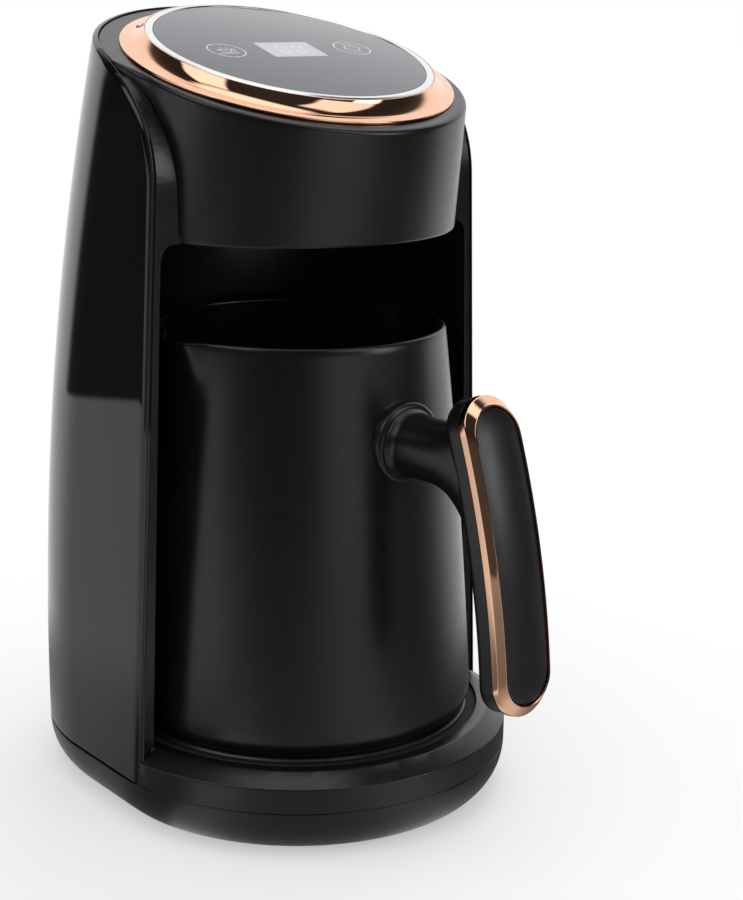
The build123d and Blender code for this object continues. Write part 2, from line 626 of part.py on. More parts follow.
def make_power_board():
    board = Pos(0, BOARD_Y + BOARD_T / 2, BOARD_Z) * Box(BOARD_W, BOARD_T, BOARD_H)
    for x, z in BOARD_HOLES:
        board -= rod(slack(M25), BOARD_REAR_Y, BOARD_Y, x, z)
    return board


def on_board(width, depth, height, x, z):
    """A block standing on the power board's rear face, z above the board's lower edge."""
    return Pos(x, BOARD_REAR_Y, BOARD_LOW_Z + z) * Box(
        width, depth, height, align=(Align.CENTER, Align.MIN, Align.CENTER))


def make_relay():
    return fillet(on_board(16, 13, 20, -12, 58).edges().group_by(Axis.Y)[-1], 1.0)


def make_transformer():
    return on_board(22, 4, 20, 11, 60) + on_board(17, 13, 15, 11, 60)


def make_filter_capacitor():
    can = rod(7.0, BOARD_REAR_Y + 12, BOARD_REAR_Y, 14, BOARD_LOW_Z + 34)
    return fillet(can.edges().group_by(Axis.Y)[-1], 1.0)


def make_terminal_block():
    block = on_board(26, 9, 10, -8, 10)
    for i in range(4):
        block -= rod(1.4, BOARD_REAR_Y + 9, BOARD_REAR_Y + 5, -17 + 6 * i, BOARD_LOW_Z + 10)
    return block


def make_board_screws():
    return joined(screw(M25, 5.0 + BOARD_T, (x, BOARD_REAR_Y, z), Rot(90, 0, 0)) for x, z in BOARD_HOLES)


def wire(radius, bend, *points):
    route = FilletPolyline(*points, radius=bend)
    return sweep(Plane(origin=route @ 0, z_dir=route % 0) * Circle(radius), route)


def make_heater_wires():
    """Two leads from the terminal block, down the cable hole, to the element's terminals."""
    tip_z = ELEMENT_UNDER_Z - TERMINAL_L
    leads = []
    for x, y in TERMINALS:
        drop_x = x * 0.35
        leads.append(wire(WIRE_R, WIRE_BEND, (drop_x, BOARD_REAR_Y + 4, BOARD_LOW_Z + 5),
                          (drop_x, BOARD_REAR_Y + 4, BOARD_LOW_Z - 6),
                          (drop_x, CABLE_HOLE[1], HOUSING_FLOOR_TOP_Z + 8),
                          (drop_x, CABLE_HOLE[1], tip_z - 4), (x, y, tip_z - 4), (x, y, tip_z)))
    return joined(leads)


def make_panel_cable():
    """Run from the power board's top edge up into the head."""
    mid_y = BOARD_Y + BOARD_T / 2
    top = BOARD_LOW_Z + BOARD_H
    return wire(WIRE_R, 2 * WIRE_BEND, (0, mid_y, top), (0, mid_y, top + 30),
                (0, mid_y - 8, CEILING_TOP_Z + 8), (0, mid_y / 2, CEILING_TOP_Z + 20), TRAY_CABLE_END)


# ---------------------------------------------------------------- head
TRAY_CABLE_END = tuple(on_deck(Pos(0, 20, -TRAY_DEPTH - WIRE_R) * Vertex(0, 0, 0)).center())


def make_head_cover():
    rear = column(HOUSING_INSET) - ahead(0)
    deck = (head(0) + rear) & above_deck(DECK_T)
    skin = (head(0) - head(-HEAD_T)) & ahead(ARM_T)
    cover = deck + skin
    for spot in FRONT_HEAD_SCREWS:
        cover += disc(HEAD_BOSS_R, CEILING_TOP_Z, CEILING_TOP_Z + HEAD_BOSS_H, spot) & head(-HEAD_T / 2)
    for spot in REAR_HEAD_SCREWS:
        cover += disc(COLUMN_BOSS_R, CEILING_TOP_Z, BODY_TOP_Z, spot)
    for angle in TRAY_ANGLES:
        cover += on_deck(Rot(0, 0, angle) * disc(COLUMN_BOSS_R, -TRAY_LUG_TOP, -DECK_T / 2, (TRAY_LUG_PCR, 0)))
    cover -= above_deck(0)
    cover -= on_deck(disc(PANEL_HOLE_R, -2 * DECK_T, 2 * DECK_T))
    for spot in HEAD_SCREWS:
        cover -= disc(pilot(M3), CEILING_TOP_Z, CEILING_TOP_Z + 9, spot)
    for angle in TRAY_ANGLES:
        cover -= on_deck(Rot(0, 0, angle) * disc(pilot(M25), -TRAY_LUG_TOP, -DECK_T, (TRAY_LUG_PCR, 0)))
    return cover


def make_bay_ceiling():
    height = slab(CEILING_Z, CEILING_TOP_Z)
    reach = BODY_TOP_Z
    inside = bay(-FIT, RING_TOP_Z, reach) - ahead(ARM_T + FIT)
    rest = bay(WALL - FIT, RING_TOP_Z, reach) & behind(CEILING_REST_Y)
    front = head(-HEAD_T - FIT) & ahead(ARM_T + 2 * FIT)
    ceiling = (inside + rest + front) & height
    for spot in CEILING_SCREWS:
        ceiling += disc(COLUMN_BOSS_R + 1, CEILING_Z, CEILING_TOP_Z, spot)
    for spot in CEILING_SCREWS + HEAD_SCREWS:
        ceiling -= disc(slack(M3), CEILING_Z, CEILING_TOP_Z, spot)
    return ceiling - disc(BOIL_R, CEILING_Z, CEILING_TOP_Z, (0, BOIL_Y))


def make_boil_sensor():
    body = disc(BOIL_R, CEILING_Z, CEILING_TOP_Z + BOIL_H, (0, BOIL_Y))
    body += disc(BOIL_R + 2, CEILING_TOP_Z, CEILING_TOP_Z + 2, (0, BOIL_Y))
    return body - disc(LENS_R, CEILING_Z, CEILING_Z + LENS_T, (0, BOIL_Y))


def make_sensor_lens():
    return disc(LENS_R, CEILING_Z, CEILING_Z + LENS_T, (0, BOIL_Y))


# ---------------------------------------------------------------- control panel
def make_bezel_ring():
    """Plated ring: a low flange on the deck, swept up to the rim that holds the glass."""
    edge = (BEZEL_R, BEZEL_EDGE_H)
    rim = (SILVER_R + 0.9, GLASS_TOP_H - 0.5)
    bottom = Polyline((BEZEL_LEDGE_R, GLASS_UNDER_H), (BEZEL_LEDGE_R, LEDGE_UNDER_H),
                      (BEZEL_NECK_R, LEDGE_UNDER_H), (BEZEL_NECK_R, -BEZEL_NECK_DEPTH),
                      (PANEL_HOLE_R - FIT, -BEZEL_NECK_DEPTH), (PANEL_HOLE_R - FIT, 0),
                      (BEZEL_R - 0.3, 0), edge)
    flange = Line(edge, (BEZEL_R - 3.4, BEZEL_EDGE_H + 0.5))
    cove = ThreePointArc(flange @ 1, (SILVER_R + 1.9, 2.4), rim)
    top = Polyline(rim, (SILVER_R + 0.4, GLASS_TOP_H), (SILVER_R, GLASS_TOP_H), (SILVER_R, GLASS_UNDER_H),
                   (BEZEL_LEDGE_R, GLASS_UNDER_H))
    return on_deck(revolve(make_face(Plane.XZ * (bottom + flange + cove + top)), Axis.Z))


def make_silver_ring():
    face = Polyline((GLASS_R, GLASS_UNDER_H), (SILVER_R, GLASS_UNDER_H), (SILVER_R, GLASS_TOP_H - 0.1),
                    (SILVER_R - 0.8, SILVER_TOP_H), (GLASS_R + 0.5, SILVER_TOP_H), (GLASS_R, GLASS_TOP_H - 0.1),
                    close=True)
    return on_deck(revolve(make_face(Plane.XZ * face), Axis.Z))


def make_panel_glass():
    glass = disc(GLASS_R, GLASS_UNDER_H, GLASS_TOP_H)
    return on_deck(chamfer(glass.edges().group_by(Axis.Z)[-1], 0.3))


def make_panel_tray():
    tray = disc(TRAY_R, -TRAY_DEPTH, LEDGE_UNDER_H)
    tray -= disc(TOUCH_BOARD_R - 1.5, -TRAY_DEPTH + 2, LEDGE_UNDER_H)
    tray -= disc(TOUCH_BOARD_R, TOUCH_BOARD_TOP_H - BOARD_T, LEDGE_UNDER_H)
    for angle in TRAY_ANGLES:
        lug = Pos(0, 0, -TRAY_DEPTH) * Box(
            TRAY_LUG_PCR, 2 * COLUMN_BOSS_R, 2, align=(Align.MIN, Align.CENTER, Align.MIN))
        lug += disc(COLUMN_BOSS_R, -TRAY_DEPTH, -TRAY_LUG_TOP, (TRAY_LUG_PCR, 0))
        lug -= disc(TOUCH_BOARD_R, -TRAY_DEPTH, 0)
        tray += Rot(0, 0, angle) * lug
        tray -= Rot(0, 0, angle) * disc(slack(M25), -TRAY_DEPTH, -TRAY_LUG_TOP, (TRAY_LUG_PCR, 0))
    return on_deck(tray)


def make_tray_screws():
    return joined(on_deck(Rot(0, 0, angle) * screw(M25, 6.0, (TRAY_LUG_PCR, 0, -TRAY_DEPTH)))
                  for angle in TRAY_ANGLES)


def make_touch_board():
    return on_deck(disc(TOUCH_BOARD_R, TOUCH_BOARD_TOP_H - BOARD_T, TOUCH_BOARD_TOP_H))


def make_touch_springs():
    """Conductive pads that couple the board to the glass under the two touch fields."""
    return joined(on_deck(annulus(TOUCH_PAD_R, TOUCH_PAD_R - 1.2, TOUCH_BOARD_TOP_H, GLASS_UNDER_H, (x, 0)))
                  for x in (-TOUCH_X, TOUCH_X))


def make_display_module():
    return on_deck(Pos(0, 0, TOUCH_BOARD_TOP_H) * Box(
        DISPLAY_W, DISPLAY_D, GLASS_UNDER_H - TOUCH_BOARD_TOP_H, align=(Align.CENTER, Align.CENTER, Align.MIN)))


def make_buzzer():
    under = TOUCH_BOARD_TOP_H - BOARD_T
    can = disc(BUZZER_R, -TRAY_DEPTH + 2, under, (-18, 14))
    return on_deck(can - disc(1.0, -TRAY_DEPTH + 2, -TRAY_DEPTH + 3, (-18, 14)))


# ---------------------------------------------------------------- jug
def jug_side(inset, low, rim_r, foot_r):
    """The jug's side in section, bulged slightly over a straight cone."""
    mid = ((rim_r + foot_r) / 2 - inset + JUG_BELLY, (JUG_RIM_Z + JUG_LEDGE_Z) / 2)
    return ThreePointArc((foot_r - inset, low), mid, (rim_r - inset, JUG_RIM_Z))


def jug_outer():
    side = jug_side(0, JUG_LEDGE_Z, JUG_RIM_R, JUG_FOOT_R)
    foot = Polyline((0, JUG_RIM_Z), (0, JUG_FOOT_Z), (JUG_FOOT_R - 0.6, JUG_FOOT_Z), side @ 0)
    solid = revolve(make_face(Plane.XZ * (foot + side + Line(side @ 1, (0, JUG_RIM_Z)))), Axis.Z)
    solid = fillet(solid.edges().group_by(Axis.Z)[0], JUG_FOOT_ROUND)
    return solid + spout(-1, 0) + spout(1, 0)


def jug_inner():
    side = jug_side(JUG_T, JUG_LEDGE_Z, JUG_RIM_R, JUG_FOOT_R)
    room = Polyline((0, JUG_RIM_Z), (0, JUG_LEDGE_Z), side @ 0)
    solid = revolve(make_face(Plane.XZ * (room + side + Line(side @ 1, (0, JUG_RIM_Z)))), Axis.Z)
    return solid + spout(-1, SPOUT_T) + spout(1, SPOUT_T)


def spout(side, inset):
    """A lip that opens out of the side towards the rim; one each side, for either hand."""
    low = JUG_RIM_Z - SPOUT_DROP + inset * 2
    reach = JUG_RIM_R + SPOUT_OUT - SPOUT_R
    foot = Plane.XY.offset(low) * Pos(side * (JUG_RIM_R - 1.5), 0) * Circle(SPOUT_R * 0.25)
    mouth = Plane.XY.offset(JUG_RIM_Z) * Pos(side * reach, 0) * Circle(SPOUT_R - inset)
    return loft([foot, mouth], ruled=True)


def make_jug_body():
    ledge_top = JUG_LEDGE_Z + JUG_LEDGE_T
    body = jug_outer() - jug_inner()
    body += annulus(JUG_FOOT_R - JUG_T / 2, JUG_LEDGE_R, JUG_LEDGE_Z, ledge_top)
    body -= disc(COLLAR_R + FIT / 2, 0, JUG_LEDGE_Z)
    body += rod(JUG_BOSS_R, -JUG_RIM_R, JUG_BOSS_END_Y, 0, NECK_Z) - jug_inner()
    body -= rod(NUT_R, JUG_BOSS_END_Y + NUT_L, JUG_BOSS_END_Y, 0, NECK_Z)
    for spot in COLLAR_SCREWS:
        body -= disc(pilot(M2), JUG_LEDGE_Z, JUG_LEDGE_Z + 3, spot)
    return body


COLLAR_SCREWS = around((JUG_BASE_FLANGE_R + COLLAR_R) / 2, COLLAR_SCREW_COUNT, 45.0)


def make_jug_base():
    """Steel pan that stands on the heating plate."""
    pan = disc(JUG_BASE_R, PLATE_TOP_Z, JUG_BASE_TOP_Z)
    pan = fillet(pan.edges().group_by(Axis.Z)[0], 1.5)
    pan -= disc(JUG_BASE_R - JUG_BASE_T, PLATE_TOP_Z + JUG_BASE_T, JUG_BASE_TOP_Z)
    flange = annulus(JUG_BASE_FLANGE_R, JUG_BASE_R - JUG_BASE_T, JUG_BASE_TOP_Z - JUG_BASE_T, JUG_BASE_TOP_Z)
    return pan + flange


def make_jug_gasket():
    return annulus(JUG_BASE_FLANGE_R, JUG_LEDGE_R, JUG_BASE_TOP_Z, JUG_LEDGE_Z)


def make_jug_collar():
    step_z = JUG_BASE_TOP_Z - JUG_BASE_T
    collar = annulus(COLLAR_R, JUG_BASE_R + FIT, JUG_FOOT_Z, JUG_LEDGE_Z)
    collar -= disc(JUG_BASE_FLANGE_R + FIT / 2, step_z, JUG_LEDGE_Z)
    for spot in COLLAR_SCREWS:
        collar -= disc(slack(M2), JUG_FOOT_Z, JUG_LEDGE_Z, spot)
        collar -= disc(M2[1] + 0.1, JUG_FOOT_Z, JUG_FOOT_Z + M2[2] + 0.3, spot)
    return collar


# ---------------------------------------------------------------- handle
GRIP_CHORD = Vector(0, -GRIP_LEAN, -GRIP_FALL)
GRIP_L = GRIP_CHORD.length
GRIP_OUT = Vector(0, GRIP_CHORD.Z, -GRIP_CHORD.Y).normalized()
GRIP_SAG = GRIP_BOW_R - (GRIP_BOW_R ** 2 - GRIP_L ** 2 / 4) ** 0.5
GRIP_MID = Vector(0, GRIP_TOP_Y, GRIP_TOP_Z) + GRIP_CHORD / 2
GRIP_CENTRE = GRIP_MID - GRIP_OUT * (GRIP_BOW_R - GRIP_SAG)
GRIP_PLANE = Plane(origin=GRIP_MID, x_dir=GRIP_CHORD.normalized(), z_dir=GRIP_OUT)


def grip_layer(width, length, deep, proud):
    """A slot-shaped slice of the grip between two depths under its bowed front face."""
    slot = extrude(GRIP_PLANE * SlotOverall(length, width), 40.0, both=True)
    ring = (Cylinder(GRIP_BOW_R + proud, 2 * width) - Cylinder(GRIP_BOW_R - deep, 3 * width))
    return slot & (Pos(GRIP_CENTRE) * Rot(0, 90, 0) * ring)


def make_grip_frame():
    frame = grip_layer(GRIP_W, GRIP_L, FRAME_T, 0)
    frame -= grip_layer(PAD_W, GRIP_L - 2 * PAD_END, PAD_T, 1.0)
    for angle in GRIP_SCREW_ANGLES:
        frame -= grip_rod(slack(M2), -FRAME_T, FRAME_T, angle)
    return frame


def make_grip_screws():
    """Hold frame and back together, hidden under the pad."""
    return joined(grip_spot(angle) * screw(M2, GRIP_SCREW_L, (0, 0, HEAD_RELIEF), Rot(180, 0, 0))
                  for angle in GRIP_SCREW_ANGLES)


def make_grip_pad():
    width = PAD_W - FIT
    pad = grip_layer(width, GRIP_L - 2 * PAD_END - FIT, PAD_T, PAD_PROUD)
    for angle in GRIP_SCREW_ANGLES:
        pad -= grip_rod(M2[1] + FIT, -FIT, M2[2] + FIT, angle)
    return pad


def neck_section(y, rise, drop):
    """Upright oval across the neck, `rise` and `drop` taller than its round section."""
    middle = Plane(origin=(0, y, NECK_Z + (rise - drop) / 2), x_dir=(0, 0, 1), z_dir=(0, -1, 0))
    return middle * Ellipse(NECK_R + (rise + drop) / 2, NECK_R)


def neck():
    """Round at the jug, and spread out above and below where it runs into the grip's back."""
    sections = [neck_section(GRIP_TOP_Y + inside, rise, drop) for inside, rise, drop in NECK_SECTIONS]
    stem = rod(NECK_R, -JUG_RIM_R, GRIP_TOP_Y + NECK_SECTIONS[0][0], 0, NECK_Z)
    return stem + loft(sections)


def make_handle_arm():
    back = grip_layer(GRIP_BACK_W, GRIP_L - GRIP_W + GRIP_BACK_W, FRAME_T + GRIP_BACK_T, -FRAME_T)
    front_face = grip_layer(3 * GRIP_W, 2 * GRIP_L, FRAME_T, 40.0)
    arm = back + (neck() - front_face)
    arm -= jug_outer()
    arm -= rod(JUG_BOSS_R, -JUG_RIM_R, JUG_BOSS_END_Y, 0, NECK_Z)
    arm -= rod(slack(M4), JUG_BOSS_END_Y, GRIP_TOP_Y - 20, 0, NECK_Z)
    arm -= rod(M4[1] + FIT, HANDLE_SCREW_Y, GRIP_TOP_Y - 20, 0, NECK_Z)
    for angle in GRIP_SCREW_ANGLES:
        arm -= grip_rod(pilot(M2), -GRIP_SCREW_L - FIT, GRIP_SCREW_L, angle)
    return arm


def grip_spot(angle):
    """Frame square to the pad's bed, at an angle round the grip's bow."""
    out = GRIP_OUT.rotate(Axis.X, angle)
    return Plane(origin=GRIP_CENTRE + out * (GRIP_BOW_R - PAD_T), x_dir=(1, 0, 0), z_dir=out).location


def grip_rod(radius, low, high, angle):
    """Rod square to the grip between two heights over the pad's bed."""
    return grip_spot(angle) * disc(radius, low, high)


def make_handle_flare():
    """Trumpet collar that covers the joint between neck and jug."""
    root_y = -JUG_RIM_R + 2
    inner = NECK_R
    curve = ThreePointArc((inner + 0.6, FLARE_FACE_Y - 3.6), (inner + 1.5, FLARE_FACE_Y - 0.9),
                          (FLARE_R - FLARE_EDGE, FLARE_FACE_Y))
    face = curve + Polyline(curve @ 1, (FLARE_R, FLARE_FACE_Y + FLARE_EDGE), (FLARE_R, root_y),
                            (inner, root_y), (inner, FLARE_FACE_Y - 3.6), curve @ 0)
    collar = Pos(0, 0, NECK_Z) * revolve(make_face(face), Axis.Y)
    return collar - jug_outer()


def make_handle_nut():
    """Threaded brass insert in the jug's boss."""
    end = JUG_BOSS_END_Y
    return rod(NUT_R, end + NUT_L, end, 0, NECK_Z) - rod(M4[0], end + NUT_L, end, 0, NECK_Z)


def make_handle_screw():
    length = JUG_BOSS_END_Y + NUT_L - HANDLE_SCREW_Y
    return screw(M4, length, (0, HANDLE_SCREW_Y, NECK_Z), Rot(-90, 0, 0))


# ---------------------------------------------------------------- export
def make_machine():
    screw_tip = LIP_UNDER_Z - 0.5
    return {
        "base_pan": make_base_pan(),
        "foot_ring": make_foot_ring(),
        "base_screws": screws_up(M3, FRONT_SCREWS, PAN_FLOOR_Z + M3[2], screw_tip),
        "column_screws": screws_up(M3, COLUMN_SCREWS, PAN_FLOOR_Z + M3[2], HOUSING_FLOOR_TOP_Z + 8),
        "base_plinth": make_base_plinth(),
        "housing_screws": screws_up(M3, HOUSING_SCREWS, RING_TOP_Z - WALL, HOUSING_FLOOR_TOP_Z + 6),
        "heating_plate": make_heating_plate(),
        "plate_seal": make_plate_seal(),
        "heating_element": make_heating_element(),
        "element_clamp": make_element_clamp(),
        "clamp_screws": screws_up(M25, CLAMP_SCREWS, CLAMP_UNDER_Z, PLATE_UNDER_Z - 1),
        "sensor_plunger": make_sensor_plunger(),
        "sensor_spring": make_sensor_spring(),
        "sensor_guide": make_sensor_guide(),
        "thermal_fuse": make_thermal_fuse(),
        "column_housing": make_column_housing(),
        "rear_cover": make_rear_cover(),
        "cord_gland": make_cord_gland(),
        "power_board": make_power_board(),
        "board_screws": make_board_screws(),
        "relay": make_relay(),
        "transformer": make_transformer(),
        "filter_capacitor": make_filter_capacitor(),
        "terminal_block": make_terminal_block(),
        "heater_wires": make_heater_wires(),
        "panel_cable": make_panel_cable(),
        "head_cover": make_head_cover(),
        "bay_ceiling": make_bay_ceiling(),
        "ceiling_screws": joined(screw(M3, 8.0 + WALL, (*spot, CEILING_TOP_Z), Rot(180, 0, 0))
                                 for spot in CEILING_SCREWS),
        "head_screws": screws_up(M3, HEAD_SCREWS, CEILING_Z, CEILING_TOP_Z + 8),
        "boil_sensor": make_boil_sensor(),
        "sensor_lens": make_sensor_lens(),
        "bezel_ring": make_bezel_ring(),
        "silver_ring": make_silver_ring(),
        "panel_glass": make_panel_glass(),
        "panel_tray": make_panel_tray(),
        "tray_screws": make_tray_screws(),
        "touch_board": make_touch_board(),
        "touch_springs": make_touch_springs(),
        "display_module": make_display_module(),
        "buzzer": make_buzzer(),
    }


def make_jug():
    """All that lifts out with the jug, square to the machine."""
    return {
        "jug_body": make_jug_body(),
        "jug_base": make_jug_base(),
        "jug_gasket": make_jug_gasket(),
        "jug_collar": make_jug_collar(),
        "collar_screws": screws_up(M2, COLLAR_SCREWS, JUG_FOOT_Z + M2[2] + 0.3, JUG_LEDGE_Z + 2.5),
        "handle_arm": make_handle_arm(),
        "handle_flare": make_handle_flare(),
        "handle_nut": make_handle_nut(),
        "handle_screw": make_handle_screw(),
        "grip_frame": make_grip_frame(),
        "grip_pad": make_grip_pad(),
        "grip_screws": make_grip_screws(),
    }


def write_parts():
    os.makedirs("parts", exist_ok=True)
    for name, shape in make_machine().items():
        export_step(shape, f"parts/{name}.step")
    for name, shape in make_jug().items():
        export_step(Rot(0, 0, JUG_TURN) * shape, f"parts/{name}.step")


write_parts()
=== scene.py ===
import json
from math import atan2, cos, pi, radians, sin, tan

import bmesh
import bpy
from mathutils import Matrix, Vector

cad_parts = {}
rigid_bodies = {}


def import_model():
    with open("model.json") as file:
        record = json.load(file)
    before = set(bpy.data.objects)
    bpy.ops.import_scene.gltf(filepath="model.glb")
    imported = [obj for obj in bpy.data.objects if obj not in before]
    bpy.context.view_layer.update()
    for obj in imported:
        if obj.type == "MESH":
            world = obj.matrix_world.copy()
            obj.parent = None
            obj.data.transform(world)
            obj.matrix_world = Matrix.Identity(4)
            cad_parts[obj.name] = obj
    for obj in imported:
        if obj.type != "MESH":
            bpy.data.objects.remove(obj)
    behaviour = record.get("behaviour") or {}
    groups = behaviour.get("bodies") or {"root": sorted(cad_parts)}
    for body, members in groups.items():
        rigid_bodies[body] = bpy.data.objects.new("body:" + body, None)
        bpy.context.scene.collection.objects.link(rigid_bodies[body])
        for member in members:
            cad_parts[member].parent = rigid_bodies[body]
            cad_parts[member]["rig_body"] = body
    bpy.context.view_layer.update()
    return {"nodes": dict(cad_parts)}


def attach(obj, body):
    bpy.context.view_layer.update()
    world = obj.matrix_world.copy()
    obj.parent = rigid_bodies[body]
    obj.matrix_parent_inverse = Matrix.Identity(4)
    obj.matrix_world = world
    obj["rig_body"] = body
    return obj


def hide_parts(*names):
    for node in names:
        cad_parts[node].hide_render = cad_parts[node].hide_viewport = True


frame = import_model()

# Metres, in the CAD's frame. MM turns the millimetres that the sizes below are written in.
MM = 0.001

# ---------------------------------------------------------------- sizes repeated from the CAD source
HALF_WIDTH, BODY_TAPER = 71.5, 0.0407
REAR_REACH, REAR_REACH_Z, REAR_BOW_R = 102.3, 62.0, 564.0
SEAM_Z = 15.5
SIDE_EDGE_Y = -11.3
KNEE_Z, KNEE_R, KNEE_TURN = 206.0, 37.0, 52.0
SWEEP_R, SWEEP_TURN = 82.0, 13.0
DECK_Y, DECK_Z, DECK_TILT = 8.1, 241.5, radians(16.0)
COVER_T, COVER_SETBACK, COVER_LOW_Z = 1.8, 1.8, 16.2
GLAND_Z, GLAND_HOLE_R = 40.0, 6.3
LIP_Z, HEAD_LIP_R, HEAD_LIP_Y = 189.7, 59.5, 15.1
HEAD_TAPER, HEAD_LEAN, HEAD_T = 0.0585, 0.145, 2.2
BAY_HALF_W, BAY_WEB_X, BAY_WEB_Z = 60.1, 53.2, 191.5
BAY_CORNER_R, BAY_LAP = 4.5, 0.7
DECK_T, PANEL_HOLE_R = 2.4, 49.4
JUG_RIM_Z, JUG_RIM_R, JUG_FOOT_R = 159.1, 47.8, 58.9
JUG_T, JUG_TURN = 2.4, radians(5.0)
SPOUT_OUT, SPOUT_DROP = 6.4, 23.0
NECK_Z, NECK_R = 127.7, 10.1
FLARE_R, FLARE_END, FLARE_ROOT = 13.2, 53.5, 45.8
FLARE_ROUND = 1.7
GRIP_TOP = Vector((0.0, -86.9, 149.4))
GRIP_CHORD = Vector((0.0, -21.3, -96.4))
GRIP_BOW_R = 297.0
GRIP_W, PAD_W, PAD_END, PAD_T, PAD_PROUD = 22.0, 19.0, 3.5, 3.2, 0.3
FRAME_T, GRIP_BACK_T, GRIP_BACK_W = 5.4, 6.8, 20.4
# the neck's ovals: y, and how far each reaches above and below the neck's axis, beyond its radius
NECK_OVALS = [(-65.9, 0.0, 0.0), (-71.4, 0.7, 0.8), (-76.4, 3.0, 3.3), (-80.4, 6.2, 7.4), (-83.9, 8.4, 12.4),
              (-87.2, 9.4, 18.0), (-89.6, 9.6, 23.5), (-92.4, 9.6, 32.0)]

DECK = Matrix.Translation((0, DECK_Y * MM, DECK_Z * MM)) @ Matrix.Rotation(DECK_TILT, 4, "X")
JUG = Matrix.Rotation(JUG_TURN, 4, "Z")


def half_width(z):
    return HALF_WIDTH - BODY_TAPER * (z - SEAM_Z)


def rear_reach(z):
    return REAR_REACH - (z - REAR_REACH_Z) ** 2 / (2 * REAR_BOW_R)


def deck_height(y):
    return DECK_Z + tan(DECK_TILT) * (y - DECK_Y)


# ---------------------------------------------------------------- surfaces
# bumps: noise per metre of surface, and depth in metres
WAVE_SCALE, WAVE_DEPTH = 18.0, 0.001
GRAIN_SCALE, GRAIN_DEPTH = 2500.0, 0.00003
# the middle of a noise's range, which its lows and highs seldom leave
NOISE_LOW, NOISE_HIGH = 0.3, 0.7


def new_material(name):
    mat = bpy.data.materials.new(name)
    mat.use_nodes = True
    tree = mat.node_tree
    tree.nodes.clear()
    out = tree.nodes.new("ShaderNodeOutputMaterial")
    return mat, tree, out


def add(tree, kind, **inputs):
    node = tree.nodes.new(kind)
    for key, value in inputs.items():
        node.inputs[key.replace("_", " ")].default_value = value
    return node


def noise(tree, coords, scale, detail=3.0):
    node = add(tree, "ShaderNodeTexNoise", Scale=scale, Detail=detail)
    tree.links.new(coords, node.inputs["Vector"])
    return node.outputs["Fac"]


def spread(tree, value, low, high):
    """Maps the middle of a noise onto a range."""
    node = tree.nodes.new("ShaderNodeMapRange")
    node.inputs["From Min"].default_value = NOISE_LOW
    node.inputs["From Max"].default_value = NOISE_HIGH
    node.inputs["To Min"].default_value = low
    node.inputs["To Max"].default_value = high
    tree.links.new(value, node.inputs["Value"])
    return node.outputs["Result"]


def tint(tree, value, dark, light):
    node = tree.nodes.new("ShaderNodeMix")
    node.data_type = "RGBA"
    node.inputs["A"].default_value = (*dark, 1)
    node.inputs["B"].default_value = (*light, 1)
    tree.links.new(value, node.inputs["Factor"])
    return node.outputs["Result"]


def bump(tree, value, strength, depth, below=None):
    node = add(tree, "ShaderNodeBump", Strength=strength, Distance=depth)
    tree.links.new(value, node.inputs["Height"])
    if below is not None:
        tree.links.new(below, node.inputs["Normal"])
    return node.outputs["Normal"]


def finish(name, dark, light, rough, grain=0.0, wave=0.0, blotch=60.0, **shader):
    """Surface with slow colour variation, varied roughness, moulded grain and a slight waviness."""
    mat, tree, out = new_material(name)
    coords = tree.nodes.new("ShaderNodeTexCoord").outputs["Object"]
    body = tree.nodes.new("ShaderNodeBsdfPrincipled")
    slow = noise(tree, coords, blotch)
    tree.links.new(tint(tree, spread(tree, slow, 0, 1), dark, light), body.inputs["Base Color"])
    tree.links.new(spread(tree, noise(tree, coords, blotch * 4), *rough), body.inputs["Roughness"])
    normal = None
    if wave:
        normal = bump(tree, noise(tree, coords, WAVE_SCALE, 1.0), wave, WAVE_DEPTH)
    if grain:
        normal = bump(tree, noise(tree, coords, GRAIN_SCALE, 2.0), grain, GRAIN_DEPTH, normal)
    if normal is not None:
        tree.links.new(normal, body.inputs["Normal"])
    for key, value in shader.items():
        body.inputs[key.replace("_", " ")].default_value = value
    tree.links.new(body.outputs["BSDF"], out.inputs["Surface"])
    return mat


